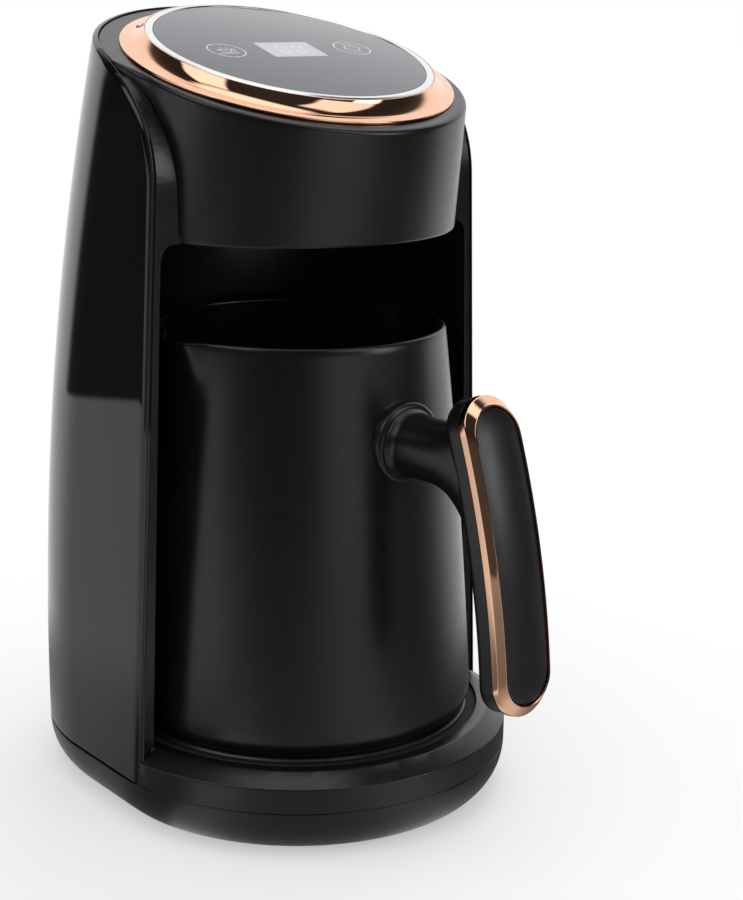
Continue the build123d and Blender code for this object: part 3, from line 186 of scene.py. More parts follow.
# Each surface: its darker and lighter colour, its range of roughness, how strong its moulded grain and its
# waviness are, how fine its colour varies (blotch), and the shader's own settings.
SURFACES = {
    "matt_black": dict(dark=(0.0036, 0.0036, 0.0039), light=(0.0046, 0.0046, 0.0050), rough=(0.27, 0.31),
                       grain=0.25),
    "gloss_black": dict(dark=(0.0022, 0.0022, 0.0026), light=(0.0028, 0.0028, 0.0032), rough=(0.02, 0.04),
                        wave=0.012, blotch=30, IOR=1.5),
    "pad_black": dict(dark=(0.006, 0.006, 0.007), light=(0.008, 0.008, 0.009), rough=(0.29, 0.34), grain=0.3),
    "rose_gold": dict(dark=(0.88, 0.51, 0.34), light=(0.93, 0.56, 0.38), rough=(0.03, 0.06), blotch=40,
                      Metallic=1.0),
    "silver_trim": dict(dark=(0.78, 0.79, 0.80), light=(0.86, 0.86, 0.87), rough=(0.16, 0.22), Metallic=1.0),
    "dark_glass": dict(dark=(0.078, 0.082, 0.098), light=(0.086, 0.090, 0.108), rough=(0.02, 0.04), blotch=20,
                       IOR=1.5),
    "plate_metal": dict(dark=(0.05, 0.05, 0.052), light=(0.07, 0.07, 0.072), rough=(0.3, 0.4), Metallic=0.8),
    "steel": dict(dark=(0.55, 0.55, 0.56), light=(0.63, 0.63, 0.63), rough=(0.22, 0.3), Metallic=1.0),
    "screw_steel": dict(dark=(0.50, 0.50, 0.51), light=(0.6, 0.6, 0.6), rough=(0.25, 0.35), Metallic=1.0),
    "brass": dict(dark=(0.60, 0.42, 0.16), light=(0.70, 0.50, 0.22), rough=(0.25, 0.32), Metallic=1.0),
    "soft_black": dict(dark=(0.012, 0.012, 0.012), light=(0.018, 0.018, 0.018), rough=(0.7, 0.8), grain=0.6),
    "silicone": dict(dark=(0.30, 0.30, 0.29), light=(0.36, 0.36, 0.35), rough=(0.5, 0.6)),
    "frame_black": dict(dark=(0.012, 0.012, 0.013), light=(0.016, 0.016, 0.017), rough=(0.45, 0.55),
                        grain=0.4),
    "board_green": dict(dark=(0.012, 0.10, 0.035), light=(0.016, 0.13, 0.045), rough=(0.3, 0.4), blotch=200),
    "part_blue": dict(dark=(0.02, 0.10, 0.32), light=(0.03, 0.13, 0.38), rough=(0.3, 0.4)),
    "part_yellow": dict(dark=(0.62, 0.45, 0.05), light=(0.7, 0.5, 0.07), rough=(0.35, 0.45)),
    "part_black": dict(dark=(0.014, 0.014, 0.015), light=(0.02, 0.02, 0.021), rough=(0.35, 0.45)),
    "terminal_grey": dict(dark=(0.28, 0.29, 0.30), light=(0.34, 0.35, 0.36), rough=(0.4, 0.5)),
    "wire_red": dict(dark=(0.42, 0.02, 0.02), light=(0.5, 0.03, 0.025), rough=(0.35, 0.45)),
    "lens": dict(dark=(0.05, 0.012, 0.014), light=(0.07, 0.016, 0.018), rough=(0.04, 0.06), IOR=1.45),
    "white_ceramic": dict(dark=(0.70, 0.69, 0.66), light=(0.78, 0.77, 0.74), rough=(0.3, 0.4)),
    "icon_white": dict(dark=(0.62, 0.63, 0.66), light=(0.70, 0.71, 0.74), rough=(0.25, 0.3)),
    "display": dict(dark=(0.42, 0.43, 0.50), light=(0.46, 0.47, 0.54), rough=(0.12, 0.18), blotch=120),
    "segment": dict(dark=(0.60, 0.61, 0.67), light=(0.64, 0.65, 0.71), rough=(0.2, 0.25)),
}


def make_materials():
    return {name: finish(name, **look) for name, look in SURFACES.items()}


# ---------------------------------------------------------------- mesh helpers
# metres within which points are one, in built meshes and in the CAD's
WELD, SOLID_WELD = 1e-7, 2e-6
# degrees above which a moulded part's edge is rounded, and below which its facets count as one flat face
MOULD_ANGLE, FLAT_ANGLE = 28.0, 0.4


def piece(name, mesh, mat, body, replaces=()):
    obj = bpy.data.objects.new(name, mesh)
    bpy.context.scene.collection.objects.link(obj)
    mesh.materials.clear()
    mesh.materials.append(mat)
    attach(obj, body)
    if replaces:
        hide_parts(*replaces)
    return obj


def mesh_from(name, verts, faces, place=None):
    """Mesh from millimetre points."""
    mesh = bpy.data.meshes.new(name)
    mesh.from_pydata([Vector(v) * MM for v in verts], [], faces)
    if place is not None:
        mesh.transform(place)
    mesh.validate()
    bm = bmesh.new()
    bm.from_mesh(mesh)
    bmesh.ops.remove_doubles(bm, verts=bm.verts, dist=WELD)
    bmesh.ops.recalc_face_normals(bm, faces=bm.faces)
    bm.to_mesh(mesh)
    bm.free()
    return mesh


def smooth(mesh, angle):
    """Smooth shading, with edges sharper than an angle in degrees kept crisp."""
    mesh.shade_smooth()
    mesh.set_sharp_from_angle(angle=radians(angle))


def soften(obj, width):
    """Rounds the sharp edges of an object's mesh by a width in millimetres."""
    mod = obj.modifiers.new("soften", "BEVEL")
    mod.width = width * MM
    mod.segments = 2
    mod.limit_method = "ANGLE"
    mod.angle_limit = radians(MOULD_ANGLE)
    mod.miter_outer = "MITER_ARC"
    mod.use_clamp_overlap = False
    mod.harden_normals = True


def rounded(points, closed=True, steps=5):
    """Polygon (a, b[, radius]) with its corners rounded by arcs."""
    out = []
    n = len(points)
    for i, p in enumerate(points):
        r = p[2] if len(p) > 2 else 0.0
        here = Vector(p[:2])
        if r <= 0 or (not closed and i in (0, n - 1)):
            out.append(tuple(here))
            continue
        a = (Vector(points[i - 1][:2]) - here).normalized()
        b = (Vector(points[(i + 1) % n][:2]) - here).normalized()
        half = a.angle(b) / 2
        if half > pi / 2 - 0.02:
            out.append(tuple(here))
            continue
        back = r / tan(half)
        middle = here + (a + b).normalized() * (r / sin(half))
        start = here + a * back - middle
        end = here + b * back - middle
        turn = atan2(start.x * end.y - start.y * end.x, start.dot(end))
        for k in range(steps + 1):
            t = turn * k / steps
            spoke = Vector((start.x * cos(t) - start.y * sin(t), start.x * sin(t) + start.y * cos(t)))
            out.append(tuple(middle + spoke))
    return out


def lathe(name, profile, place=None, segments=192, closed=True):
    """Turns a profile of (radius, height) about the local Z axis."""
    verts, faces = [], []
    n = len(profile)
    for i in range(segments):
        a = 2 * pi * i / segments
        verts += [(r * cos(a), r * sin(a), h) for r, h in profile]
    last = n if closed else n - 1
    for i in range(segments):
        j = (i + 1) % segments
        for k in range(last):
            m = (k + 1) % n
            faces.append((i * n + k, j * n + k, j * n + m, i * n + m))
    return mesh_from(name, verts, faces, place)


def grid_faces(rows, cols, offset=0, wrap=False, closed=False):
    """Quads over a grid of points; `wrap` joins each row's ends, `closed` the last row to the first."""
    faces = []
    for i in range(rows if closed else rows - 1):
        here, there = offset + i * cols, offset + (i + 1) % rows * cols
        for j in range(cols if wrap else cols - 1):
            k = (j + 1) % cols
            faces.append((here + j, here + k, there + k, there + j))
    return faces


def prism_faces(first, n):
    """Two end caps and the walls between two outlines of n points that follow each other from `first` on."""
    caps = [tuple(range(first + n - 1, first - 1, -1)), tuple(range(first + n, first + 2 * n))]
    return caps + [(first + i, first + (i + 1) % n, first + n + (i + 1) % n, first + n + i) for i in range(n)]


def curve_through(knots, share):
    """Smooth curve through tuples, at a share of the way along the first coordinate."""
    x = knots[0][0] + (knots[-1][0] - knots[0][0]) * share
    i = 0
    while i < len(knots) - 2 and (x - knots[i + 1][0]) * (knots[-1][0] - knots[0][0]) > 0:
        i += 1
    start, end = knots[i], knots[i + 1]
    before, after = knots[max(i - 1, 0)], knots[min(i + 2, len(knots) - 1)]
    span = end[0] - start[0]
    t = (x - start[0]) / span
    out = [x]
    for k in range(1, len(start)):
        m0 = (end[k] - before[k]) / (end[0] - before[0]) * span
        m1 = (after[k] - start[k]) / (after[0] - start[0]) * span
        out.append((2 * t ** 3 - 3 * t ** 2 + 1) * start[k] + (t ** 3 - 2 * t ** 2 + t) * m0
                   + (3 * t ** 2 - 2 * t ** 3) * end[k] + (t ** 3 - t ** 2) * m1)
    return out


def ease(t):
    """0 to 1 with level ends."""
    t = min(1.0, max(0.0, t))
    return t * t * (3 - 2 * t)


def softened_node(node, mat, width):
    """A moulded part: the CAD solid's surface with its edges rounded by a width in millimetres."""
    source = frame["nodes"][node]
    mesh = source.data.copy()
    mesh.name = node + "_moulded"
    bm = bmesh.new()
    bm.from_mesh(mesh)
    bmesh.ops.remove_doubles(bm, verts=bm.verts, dist=SOLID_WELD)
    bmesh.ops.dissolve_limit(bm, angle_limit=radians(FLAT_ANGLE), verts=bm.verts, edges=bm.edges)
    bm.to_mesh(mesh)
    bm.free()
    obj = piece(node + "_moulded", mesh, mat, source["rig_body"], (node,))
    soften(obj, width)
    smooth(mesh, MOULD_ANGLE)


# ---------------------------------------------------------------- rear cover
# how far the edge's last straight runs on over the deck
EDGE_RUN_OUT = 60.0


def edge_curve(back):
    """Points (y, z) of the arms' swept front edge, moved back, from below upwards."""
    y0 = SIDE_EDGE_Y + back
    pts = [(y0, z) for z in (COVER_LOW_Z, 60, 110, 150, 180)]
    r1, r2 = KNEE_R - back, SWEEP_R - back
    for i in range(13):
        a = radians(KNEE_TURN) * i / 12
        pts.append((y0 + r1 * (1 - cos(a)), KNEE_Z + r1 * sin(a)))
    y1, z1 = pts[-1]
    a0 = radians(KNEE_TURN)
    for i in range(1, 7):
        a = a0 + radians(SWEEP_TURN) * i / 6
        pts.append((y1 + r2 * (cos(a0) - cos(a)), z1 + r2 * (sin(a) - sin(a0))))
    y2, z2 = pts[-1]
    a = a0 + radians(SWEEP_TURN)
    pts.append((y2 + EDGE_RUN_OUT * sin(a), z2 + EDGE_RUN_OUT * cos(a)))
    return pts


def edge_at(curve, z):
    """y of the edge curve at a height."""
    for (y1, z1), (y2, z2) in zip(curve, curve[1:]):
        if z <= z2:
            return y1 + (y2 - y1) * (z - z1) / (z2 - z1)
    return curve[-1][0]


def cover_point(s, z, inset):
    """Point at an arc length s from the middle of the back, at height z."""
    r = half_width(z) - inset
    centre = rear_reach(z) - half_width(z)
    side = 1 if s > 0 else -1
    quarter = r * pi / 2
    if abs(s) <= quarter:
        a = s / r
        return (r * sin(a), centre + r * cos(a), z)
    return (side * r, centre - (abs(s) - quarter), z)


# the cover's border: distance in from the edge, and depth under the outer surface
SHEET_BORDER = [(0.0, 0.9), (0.0, 0.5), (0.04, 0.31), (0.13, 0.15), (0.28, 0.04), (0.5, 0.0)]
COVER_COLS, COVER_ROWS = 160, 130


def sheet_stops(count, low):
    """Stops (place, distance in, depth) across the sheet, from `low` to 1, with the border's at both ends."""
    start = [(low, *stop) for stop in SHEET_BORDER[:-1]]
    inside = [(low + (1 - low) * i / count, SHEET_BORDER[-1][0], 0.0) for i in range(count + 1)]
    end = [(1, *stop) for stop in SHEET_BORDER[-2::-1]]
    return start + inside + end


def make_rear_cover(m):
    """Glossy sheet with rounded borders, folded round the back and both sides."""
    curve = edge_curve(COVER_SETBACK)
    cols, rows = sheet_stops(COVER_COLS, -1), sheet_stops(COVER_ROWS, 0)
    verts, faces = [], []
    for back in (False, True):
        first = len(verts)
        for v, row_edge, row_depth in rows:
            for u, col_edge, col_depth in cols:
                depth = max(row_depth, col_depth)
                depth = COVER_T - depth if back else depth
                z = 150.0
                # the top edge follows the deck, so the height settles in small steps
                for _ in range(30):
                    reach = half_width(z) * (pi / 2 - 1) + rear_reach(z) - edge_at(curve, z)
                    point = cover_point(u * (reach - col_edge), z, 0)
                    top = deck_height(point[1]) - row_edge
                    z += 0.6 * (COVER_LOW_Z + row_edge + v * (top - COVER_LOW_Z - row_edge) - z)
                verts.append(cover_point(u * (reach - col_edge), z, depth))
        faces += grid_faces(len(rows), len(cols), first)
    mesh = mesh_from("rear_cover_gloss", verts, faces)
    bm = bmesh.new()
    bm.from_mesh(mesh)
    exit_point = Vector((0, rear_reach(GLAND_Z), GLAND_Z)) * MM
    hole_r = (GLAND_HOLE_R + 0.6) * MM
    hole = [f for f in bm.faces if (f.calc_center_median() - exit_point).length < hole_r]
    bmesh.ops.delete(bm, geom=hole, context="FACES")
    bmesh.ops.bridge_loops(bm, edges=[e for e in bm.edges if e.is_boundary])
    bmesh.ops.recalc_face_normals(bm, faces=bm.faces)
    bm.to_mesh(mesh)
    bm.free()
    piece("rear_cover_gloss", mesh, m["gloss_black"], "machine", ("rear_cover",))
    smooth(mesh, 50)


# ---------------------------------------------------------------- head
HEAD_SEGMENTS, HEAD_LEVELS, DECK_STEPS = 288, 40, 6
# cosine of the angle from the front up to which the wall is the plain cone
CONE_COS = 0.35
# the flare towards the rear: its length, and the depths under the deck at which it ends and is full
SHOULDER_LENGTH, SHOULDER_LOW, SHOULDER_FULL = 13.0, 12.5, 3.0
# how far inside the column's outline the flare stays, how much further beside the cover, and where that
# change starts and how long it takes, front to back
RIM_INSET, COVER_INSET, INSET_Y, INSET_LENGTH = 0.75, 1.3, 9.5, 2.5
# the deck's rounded edge: its reach at the front, how much less it is at the back, and where that changes
DECK_ROUND, DECK_ROUND_LESS, ROUND_Y, ROUND_LENGTH = 1.7, 1.25, 4.0, 12.0
# behind this line the head is only the deck's plate, which lies in the column's rim of this width
PLATE_Y, RIM_W = 22.0, 2.4
# the lip's section: (distance inwards, depth under the wall's start), from the inside out
LIP_SECTION = [(HEAD_T - 0.6, 0.8), (0.35, 0.75), (0.08, 0.4)]
LIP_CHAMFER, HOLE_CHAMFER = 0.9, 0.3


def head_outline(a, z):
    """Plan point of the head's leaning cone, a measured from the front."""
    rise = z - LIP_Z
    r = HEAD_LIP_R - HEAD_TAPER * rise
    return Vector((r * sin(a), HEAD_LIP_Y - (HEAD_TAPER + HEAD_LEAN) * rise - r * cos(a)))


def rear_outline(a, z, inset):
    """Plan point of the column's outline, inset."""
    r = half_width(z) - inset
    centre = rear_reach(z) - half_width(z)
    return Vector((r * sin(a), centre - r * cos(a)))


def shoulder(a, z, under):
    """Plan point of the head's wall, which flares out to the column's rim near the deck; `under` is the
    depth below the deck."""
    front = head_outline(a, z)
    if cos(a) > CONE_COS:
        return front
    reach = ease(front.y / SHOULDER_LENGTH) * ease((SHOULDER_LOW - under) / (SHOULDER_LOW - SHOULDER_FULL))
    inset = RIM_INSET + COVER_INSET * ease((front.y - INSET_Y) / INSET_LENGTH)
    return front.lerp(rear_outline(a, z, inset), reach)


def deck_edge(a):
    """Point where the head's wall meets the deck."""
    z = DECK_Z
    for _ in range(25):
        z += 0.8 * (deck_height(shoulder(a, z, 0.0).y) - z)
    spot = shoulder(a, z, 0.0)
    return Vector((spot.x, spot.y, z))


def head_column(a):
    """Closed section of the head's shell at one angle: lip, wall, rounded edge, deck, hole and inside."""
    edge = deck_edge(a)
    deck_out = Vector((0, -sin(DECK_TILT), cos(DECK_TILT)))
    thin = Vector((-sin(a), cos(a), 0))
    plate = edge.y > PLATE_Y and cos(a) < 0
    low = edge.z - DECK_T if plate else LIP_Z
    bend = DECK_ROUND - DECK_ROUND_LESS * ease((edge.y - ROUND_Y) / ROUND_LENGTH)
    levels = [low + (edge.z - bend - low) * (i / HEAD_LEVELS) for i in range(HEAD_LEVELS + 1)]
    if not plate:
        levels[0] = low + LIP_CHAMFER
    wall = []
    for z in levels:
        spot = shoulder(a, z, edge.z - z)
        wall.append(Vector((spot.x, spot.y, z)))
    towards = Vector((sin(a), -cos(a) * cos(DECK_TILT), -cos(a) * sin(DECK_TILT)))
    hole = Vector((0, DECK_Y, DECK_Z)) + towards * PANEL_HOLE_R
    inwards = (hole - edge).normalized()
    start, end = wall[-1], edge + inwards * bend
    corner = [start.lerp(edge, i / 8).lerp(edge.lerp(end, i / 8), i / 8) for i in range(1, 8)]
    deck = [end.lerp(hole - inwards * HOLE_CHAMFER, i / DECK_STEPS) for i in range(DECK_STEPS + 1)]
    rim_inside = edge + inwards * RIM_W - deck_out * DECK_T
    under = [hole - deck_out * HOLE_CHAMFER, hole - deck_out * DECK_T, rim_inside]
    inside = [point + thin * HEAD_T for point in reversed(wall[:-1:4])]
    if plate:
        inside = [rim_inside + thin * 0.01 * i for i in range(len(inside))]
        lips = [wall[0] + thin * (1.5 - 0.5 * i) for i in range(3)]
    else:
        lips = [wall[0] + thin * across - Vector((0, 0, down)) for across, down in LIP_SECTION]
    return wall + corner + deck + under + inside + lips


def make_head(m):
    sections = [head_column(2 * pi * i / HEAD_SEGMENTS) for i in range(HEAD_SEGMENTS)]
    verts = [point for section in sections for point in section]
    faces = grid_faces(HEAD_SEGMENTS, len(sections[0]), wrap=True, closed=True)
    mesh = mesh_from("head_shell", verts, faces)
    piece("head_shell", mesh, m["matt_black"], "machine", ("head_cover",))
    smooth(mesh, 40)


def make_bay_corners(m):
    """Rounded upper corners of the jug's bay, in line with the head's lip and lapping its walls."""
    low, web, outside = LIP_Z + 0.3, BAY_WEB_Z + BAY_LAP, BAY_HALF_W + BAY_LAP
    verts, faces = [], []
    for side in (-1, 1):
        face = [(side * outside, web), (side * BAY_WEB_X, web), (side * BAY_WEB_X, low)]
        for i in range(13):
            a = pi / 2 * i / 12
            x, z = BAY_HALF_W - BAY_CORNER_R * (1 - sin(a)), low - BAY_CORNER_R * (1 - cos(a))
            face.append((side * x, z))
        face.append((side * outside, low - BAY_CORNER_R))
        n, first = len(face), len(verts)
        verts += [(x, SIDE_EDGE_Y - 0.01, z) for x, z in face] + [(x, -0.5, z) for x, z in face]
        faces += prism_faces(first, n)
    mesh = mesh_from("bay_corners", verts, faces)
    piece("bay_corners", mesh, m["matt_black"], "machine")
    smooth(mesh, 30)


# ---------------------------------------------------------------- control panel
# the glass: radius, and the heights of its underside and top over the deck
GLASS_R, GLASS_LOW, GLASS_TOP = 44.5, 3.4, 5.4
PANEL_SEGMENTS = 256
# the ring's wall: how far it runs in and up, and how far it sags in and down
WALL_IN, WALL_UP, WALL_SAG_IN, WALL_SAG_UP = 3.6, 3.7, 0.25, 0.2


def make_bezel_ring(m):
    """Ring of (radius, height, corner radius) over the deck, with a wall that sags as it rises inwards."""
    low = [(42.5, 3.4), (42.5, 1.4), (46.0, 1.4), (46.0, -3.5), (49.2, -3.5), (49.2, 0.0), (54.3, 0.0, 0.2),
           (54.6, 0.25, 0.15), (54.6, 0.9, 0.35), (51.4, 1.35, 1.2)]
    wall = []
    for i in range(1, 9):
        t = i / 8
        sag = sin(pi * t)
        wall.append((51.2 - WALL_IN * t - WALL_SAG_IN * sag, 1.4 + WALL_UP * t - WALL_SAG_UP * sag))
    rim = [(47.5, 5.35, 0.15), (47.15, 5.4, 0.1), (47.1, 3.4)]
    mesh = lathe("bezel_ring_plated", rounded(low + wall + rim), DECK, PANEL_SEGMENTS)
    piece("bezel_ring_plated", mesh, m["rose_gold"], "machine", ("bezel_ring",))
    smooth(mesh, 30)


def make_silver_ring(m):
    face = [(44.55, 3.45), (47.05, 3.45), (47.05, 5.3, 0.2), (46.3, 5.7, 0.35), (45.0, 5.7, 0.35),
            (44.55, 5.35, 0.15)]
    mesh = lathe("silver_ring_chamfered", rounded(face), DECK, PANEL_SEGMENTS)
    piece("silver_ring_chamfered", mesh, m["silver_trim"], "machine", ("silver_ring",))
    smooth(mesh, 30)


def make_panel_glass(m):
    section = [(0.0, GLASS_LOW), (GLASS_R, GLASS_LOW, 0.1), (GLASS_R, GLASS_TOP, 0.35), (0.0, GLASS_TOP)]
    profile = rounded(section, closed=False)
    mesh = lathe("panel_glass_disc", profile, DECK, PANEL_SEGMENTS, closed=False)
    piece("panel_glass_disc", mesh, m["dark_glass"], "machine", ("panel_glass",))
    smooth(mesh, 30)


# the touch marks' rings and lines
MARK_R, MARK_LINE = 6.2, 0.42


def deck_inlay(name, outlines, under, over, mat):
    """Flat shapes (polygons of deck points) on the glass, from a depth under its top to a height over it."""
    verts, faces = [], []
    for outline in outlines:
        faces += prism_faces(len(verts), len(outline))
        for height in (GLASS_TOP - under, GLASS_TOP + over):
            verts += [(x, y, height) for x, y in outline]
    piece(name, mesh_from(name, verts, faces, DECK), mat, "machine")


def stroke(points, width):
    """Outlines of the short straight strips that follow a line of points."""
    strips = []
    for (x1, y1), (x2, y2) in zip(points, points[1:]):
        way = Vector((x2 - x1, y2 - y1)).normalized()
        side = Vector((-way.y, way.x)) * width / 2
        lap = way * width * 0.2
        a, b = Vector((x1, y1)) - lap, Vector((x2, y2)) + lap
        strips.append([tuple(a - side), tuple(b - side), tuple(b + side), tuple(a + side)])
    return strips


def arc_points(x, y, r, start, end, steps):
    return [(x + r * cos(radians(start + (end - start) * i / steps)),
             y + r * sin(radians(start + (end - start) * i / steps))) for i in range(steps + 1)]


def segment_digit(x, y, lit):
    """Seven-segment digit: bars a to g as slim hexagons."""
    w, h, t = 3.1, 3.3, 0.42
    bars = {"a": (0, h, 1), "b": (w / 2, h / 2, 0), "c": (w / 2, -h / 2, 0), "d": (0, -h, 1),
            "e": (-w / 2, -h / 2, 0), "f": (-w / 2, h / 2, 0), "g": (0, 0, 1)}
    out = []
    for key in lit:
        cx, cy, flat = bars[key]
        half = (w if flat else h) / 2 - 0.15
        shape = [(-half, 0), (-half + t, -t), (half - t, -t), (half, 0), (half - t, t), (-half + t, t)]
        out.append([(x + cx + (a if flat else b), y + cy + (b if flat else a)) for a, b in shape])
    return out


def make_panel_marks(m):
    """Lit display window with two digits, and the two touch marks: a cup and a swirl, each in a ring."""
    window = rounded([(-10.3, -6.9, 0.6), (10.3, -6.9, 0.6), (10.3, 6.9, 0.6), (-10.3, 6.9, 0.6)])
    deck_inlay("display_window", [window], 0.03, 0.02, m["display"])
    digits = segment_digit(-3.2, -0.2, "abcdef") + segment_digit(3.2, -0.2, "abcdef")
    deck_inlay("display_digits", digits, -0.01, 0.04, m["segment"])
    cup_x, swirl_x = -24.7, 24.6
    cup = stroke(arc_points(cup_x, 0, MARK_R, 0, 360, 72), MARK_LINE)
    cup += stroke(arc_points(cup_x - 0.4, 0.9, 2.6, 180, 360, 24) + [(cup_x - 3.0, 0.9)], MARK_LINE)
    cup += stroke(arc_points(cup_x + 2.3, 0.2, 1.1, -100, 90, 16), 0.36)
    cup += stroke([(cup_x - 4.0, -2.6), (cup_x + 3.2, -2.6)], MARK_LINE)
    for i in range(2):
        cup += stroke(arc_points(cup_x - 1.5 + 2.2 * i, 2.6, 0.7, -60, 60, 8), 0.34)
    deck_inlay("mark_cup", cup, 0.02, 0.03, m["icon_white"])
    swirl = stroke(arc_points(swirl_x, 0, MARK_R, 0, 360, 72), MARK_LINE)
    for start in (0, 180):
        turns = [(start + 10 * i, 0.9 + 0.11 * i) for i in range(30)]
        swirl += stroke([(swirl_x + r * cos(radians(a)), r * sin(radians(a))) for a, r in turns], 0.4)
    deck_inlay("mark_swirl", swirl, 0.02, 0.03, m["icon_white"])


# ---------------------------------------------------------------- jug
JUG_SEGMENTS, JUG_LEVELS = 288, 70
JUG_LEDGE_Z, JUG_BULGE, RIM_ROUND = 36.0, 0.85, 1.2
# the foot's flange and inner ledge, and the radius between the foot and the side
JUG_LOW_Z, JUG_FLANGE_R, JUG_LEDGE_R, JUG_FLOOR_Z, FOOT_ROUND = 29.3, 56.2, 48.8, 40.0, 5.0


def jug_radius(z):
    """The jug's side: an arc through the ledge's level, the bulged middle and the rim."""
    t = (z - JUG_LEDGE_Z) / (JUG_RIM_Z - JUG_LEDGE_Z)
    return JUG_FOOT_R + (JUG_RIM_R - JUG_FOOT_R) * t + JUG_BULGE * 4 * t * (1 - t)


def spout_bell(a, rise):
    """Share of the spout's reach at angle a from +X: both spouts, broader towards the rim."""
    width = 0.15 + 0.05 * rise
    away = min(abs((a - mid + pi) % (2 * pi) - pi) for mid in (0.0, pi))
    return 1.0 / (1.0 + (away / width) ** 4) ** 0.9


def spout_share(a, z):
    """Share of a spout's reach at angle a and height z: it grows towards the rim."""
    rise = max(0.0, (z - (JUG_RIM_Z - SPOUT_DROP)) / SPOUT_DROP)
    return spout_bell(a, rise) * rise ** 1.7


def make_jug_body(m):
    foot = [(JUG_FLANGE_R, JUG_LOW_Z)]
    for i in range(3, 6):
        a = pi / 2 * i / 5
        foot.append((JUG_FOOT_R - FOOT_ROUND * (1 - sin(a)), 33.5 - FOOT_ROUND * cos(a)))
    top_z = JUG_RIM_Z - RIM_ROUND
    levels = [JUG_LEDGE_Z + (top_z - JUG_LEDGE_Z) * (i / JUG_LEVELS) for i in range(JUG_LEVELS + 1)]
    outer = foot + [(jug_radius(z), z) for z in levels]
    top = []
    for i in range(1, 8):
        a = pi * i / 8
        top.append((JUG_RIM_R - RIM_ROUND + RIM_ROUND * cos(a), top_z + RIM_ROUND * sin(a)))
    inner = [(jug_radius(z) - JUG_T, z) for z in reversed(levels[4:])]
    inner += [(jug_radius(JUG_FLOOR_Z) - JUG_T, JUG_FLOOR_Z), (JUG_LEDGE_R, JUG_FLOOR_Z),
              (JUG_LEDGE_R, JUG_LEDGE_Z), (JUG_FLANGE_R, JUG_LEDGE_Z)]
    profile = outer + top + inner
    verts = []
    for i in range(JUG_SEGMENTS):
        a = 2 * pi * i / JUG_SEGMENTS
        for k, (r, z) in enumerate(profile):
            # a spout's inner side is drawn out further, so its lip is thinner
            reach = SPOUT_OUT + (0.35 if k >= len(outer) + 4 else 0.0)
            r += reach * spout_share(a, z)
            verts.append((r * cos(a), r * sin(a), z))
    faces = grid_faces(JUG_SEGMENTS, len(profile), wrap=True, closed=True)
    mesh = mesh_from("jug_body_shell", verts, faces, JUG)
    piece("jug_body_shell", mesh, m["matt_black"], "jug", ("jug_body",))
    smooth(mesh, 40)


def make_handle_flare(m):
    """Trumpet collar round the neck's root."""
    place = JUG @ Matrix.Translation((0, 0, NECK_Z * MM)) @ Matrix.Rotation(pi / 2, 4, "X")
    bore = NECK_R + 0.05
    outside = [(bore, FLARE_ROOT), (FLARE_R, FLARE_ROOT), (FLARE_R, FLARE_END, FLARE_ROUND),
               (FLARE_R - FLARE_ROUND - 0.15, FLARE_END)]
    face = []
    for i in range(15):
        t = i / 14
        face.append((bore + 0.05 + 1.1 * (1 - t) ** 2.4, FLARE_END + 0.1 + 3.3 * t ** 0.8))
    mesh = lathe("handle_flare_turned", rounded(outside + face), place, 128)
    piece("handle_flare_turned", mesh, m["matt_black"], "jug", ("handle_flare",))
    smooth(mesh, 40)


# ---------------------------------------------------------------- grip
NECK_SIDES, NECK_ROWS = 64, 60
# how deep under the frame's bed the neck's far side ends, and the radius of the grip's back edge
NECK_SINK, BACK_ROUND = 1.5, 2.6
GRIP_L = GRIP_CHORD.length
GRIP_DOWN = GRIP_CHORD.normalized()
GRIP_OUT = Vector((0.0, GRIP_CHORD.z, -GRIP_CHORD.y)).normalized()
GRIP_SAG = GRIP_BOW_R - (GRIP_BOW_R ** 2 - GRIP_L ** 2 / 4) ** 0.5
GRIP_CENTRE = GRIP_TOP + GRIP_CHORD / 2 - GRIP_OUT * (GRIP_BOW_R - GRIP_SAG)


def grip_point(along, across, height):
    """Point at a height over the grip's bowed face."""
    out = ((GRIP_BOW_R + height) ** 2 - along ** 2) ** 0.5
    return GRIP_CENTRE + GRIP_DOWN * along + Vector((across, 0, 0)) + GRIP_OUT * out


def under_grip(spot, height):
    """The point itself, or the one below it where it lies above a height over the grip's bowed face."""
    spoke = Vector((0.0, spot.y - GRIP_CENTRE.y, spot.z - GRIP_CENTRE.z))
    above = spoke.length - (GRIP_BOW_R + height)
    return spot - spoke.normalized() * max(0.0, above)


def slot_path(length, width, arc=24, side=40):
    """Points (along, across) round a slot, the same count for every slot."""
    r, half = width / 2, (length - width) / 2
    points = []
    for end in (1, -1):
        for i in range(arc):
            a = pi * i / arc - pi / 2
            points.append((end * (half + r * cos(a)), end * r * sin(a)))
        for i in range(side):
            points.append((end * (half - 2 * half * i / side), end * r))
    return points


def slot_sweep(name, loops):
    """Skin over loops of grip points; the first and last loop are closed along the slot's middle."""
    verts = [point for loop in loops for point in loop]
    return mesh_from(name, verts, grid_faces(len(loops), len(loops[0]), wrap=True), JUG)


def grip_loops(sections, outer, inner):
    """Loops for sections (share, height): share 0 on the outer slot, 1 on the inner, 2 on the middle."""
    core = slot_path(inner[0] - inner[1] + 0.02, 0.02)
    outer, inner = slot_path(*outer), slot_path(*inner)
    loops = []
    for share, height in sections:
        a, b, t = (outer, inner, share) if share <= 1 else (inner, core, share - 1)
        spots = [(p[0] + (q[0] - p[0]) * t, p[1] + (q[1] - p[1]) * t) for p, q in zip(a, b)]
        loops.append([grip_point(along, across, height) for along, across in spots])
    return loops


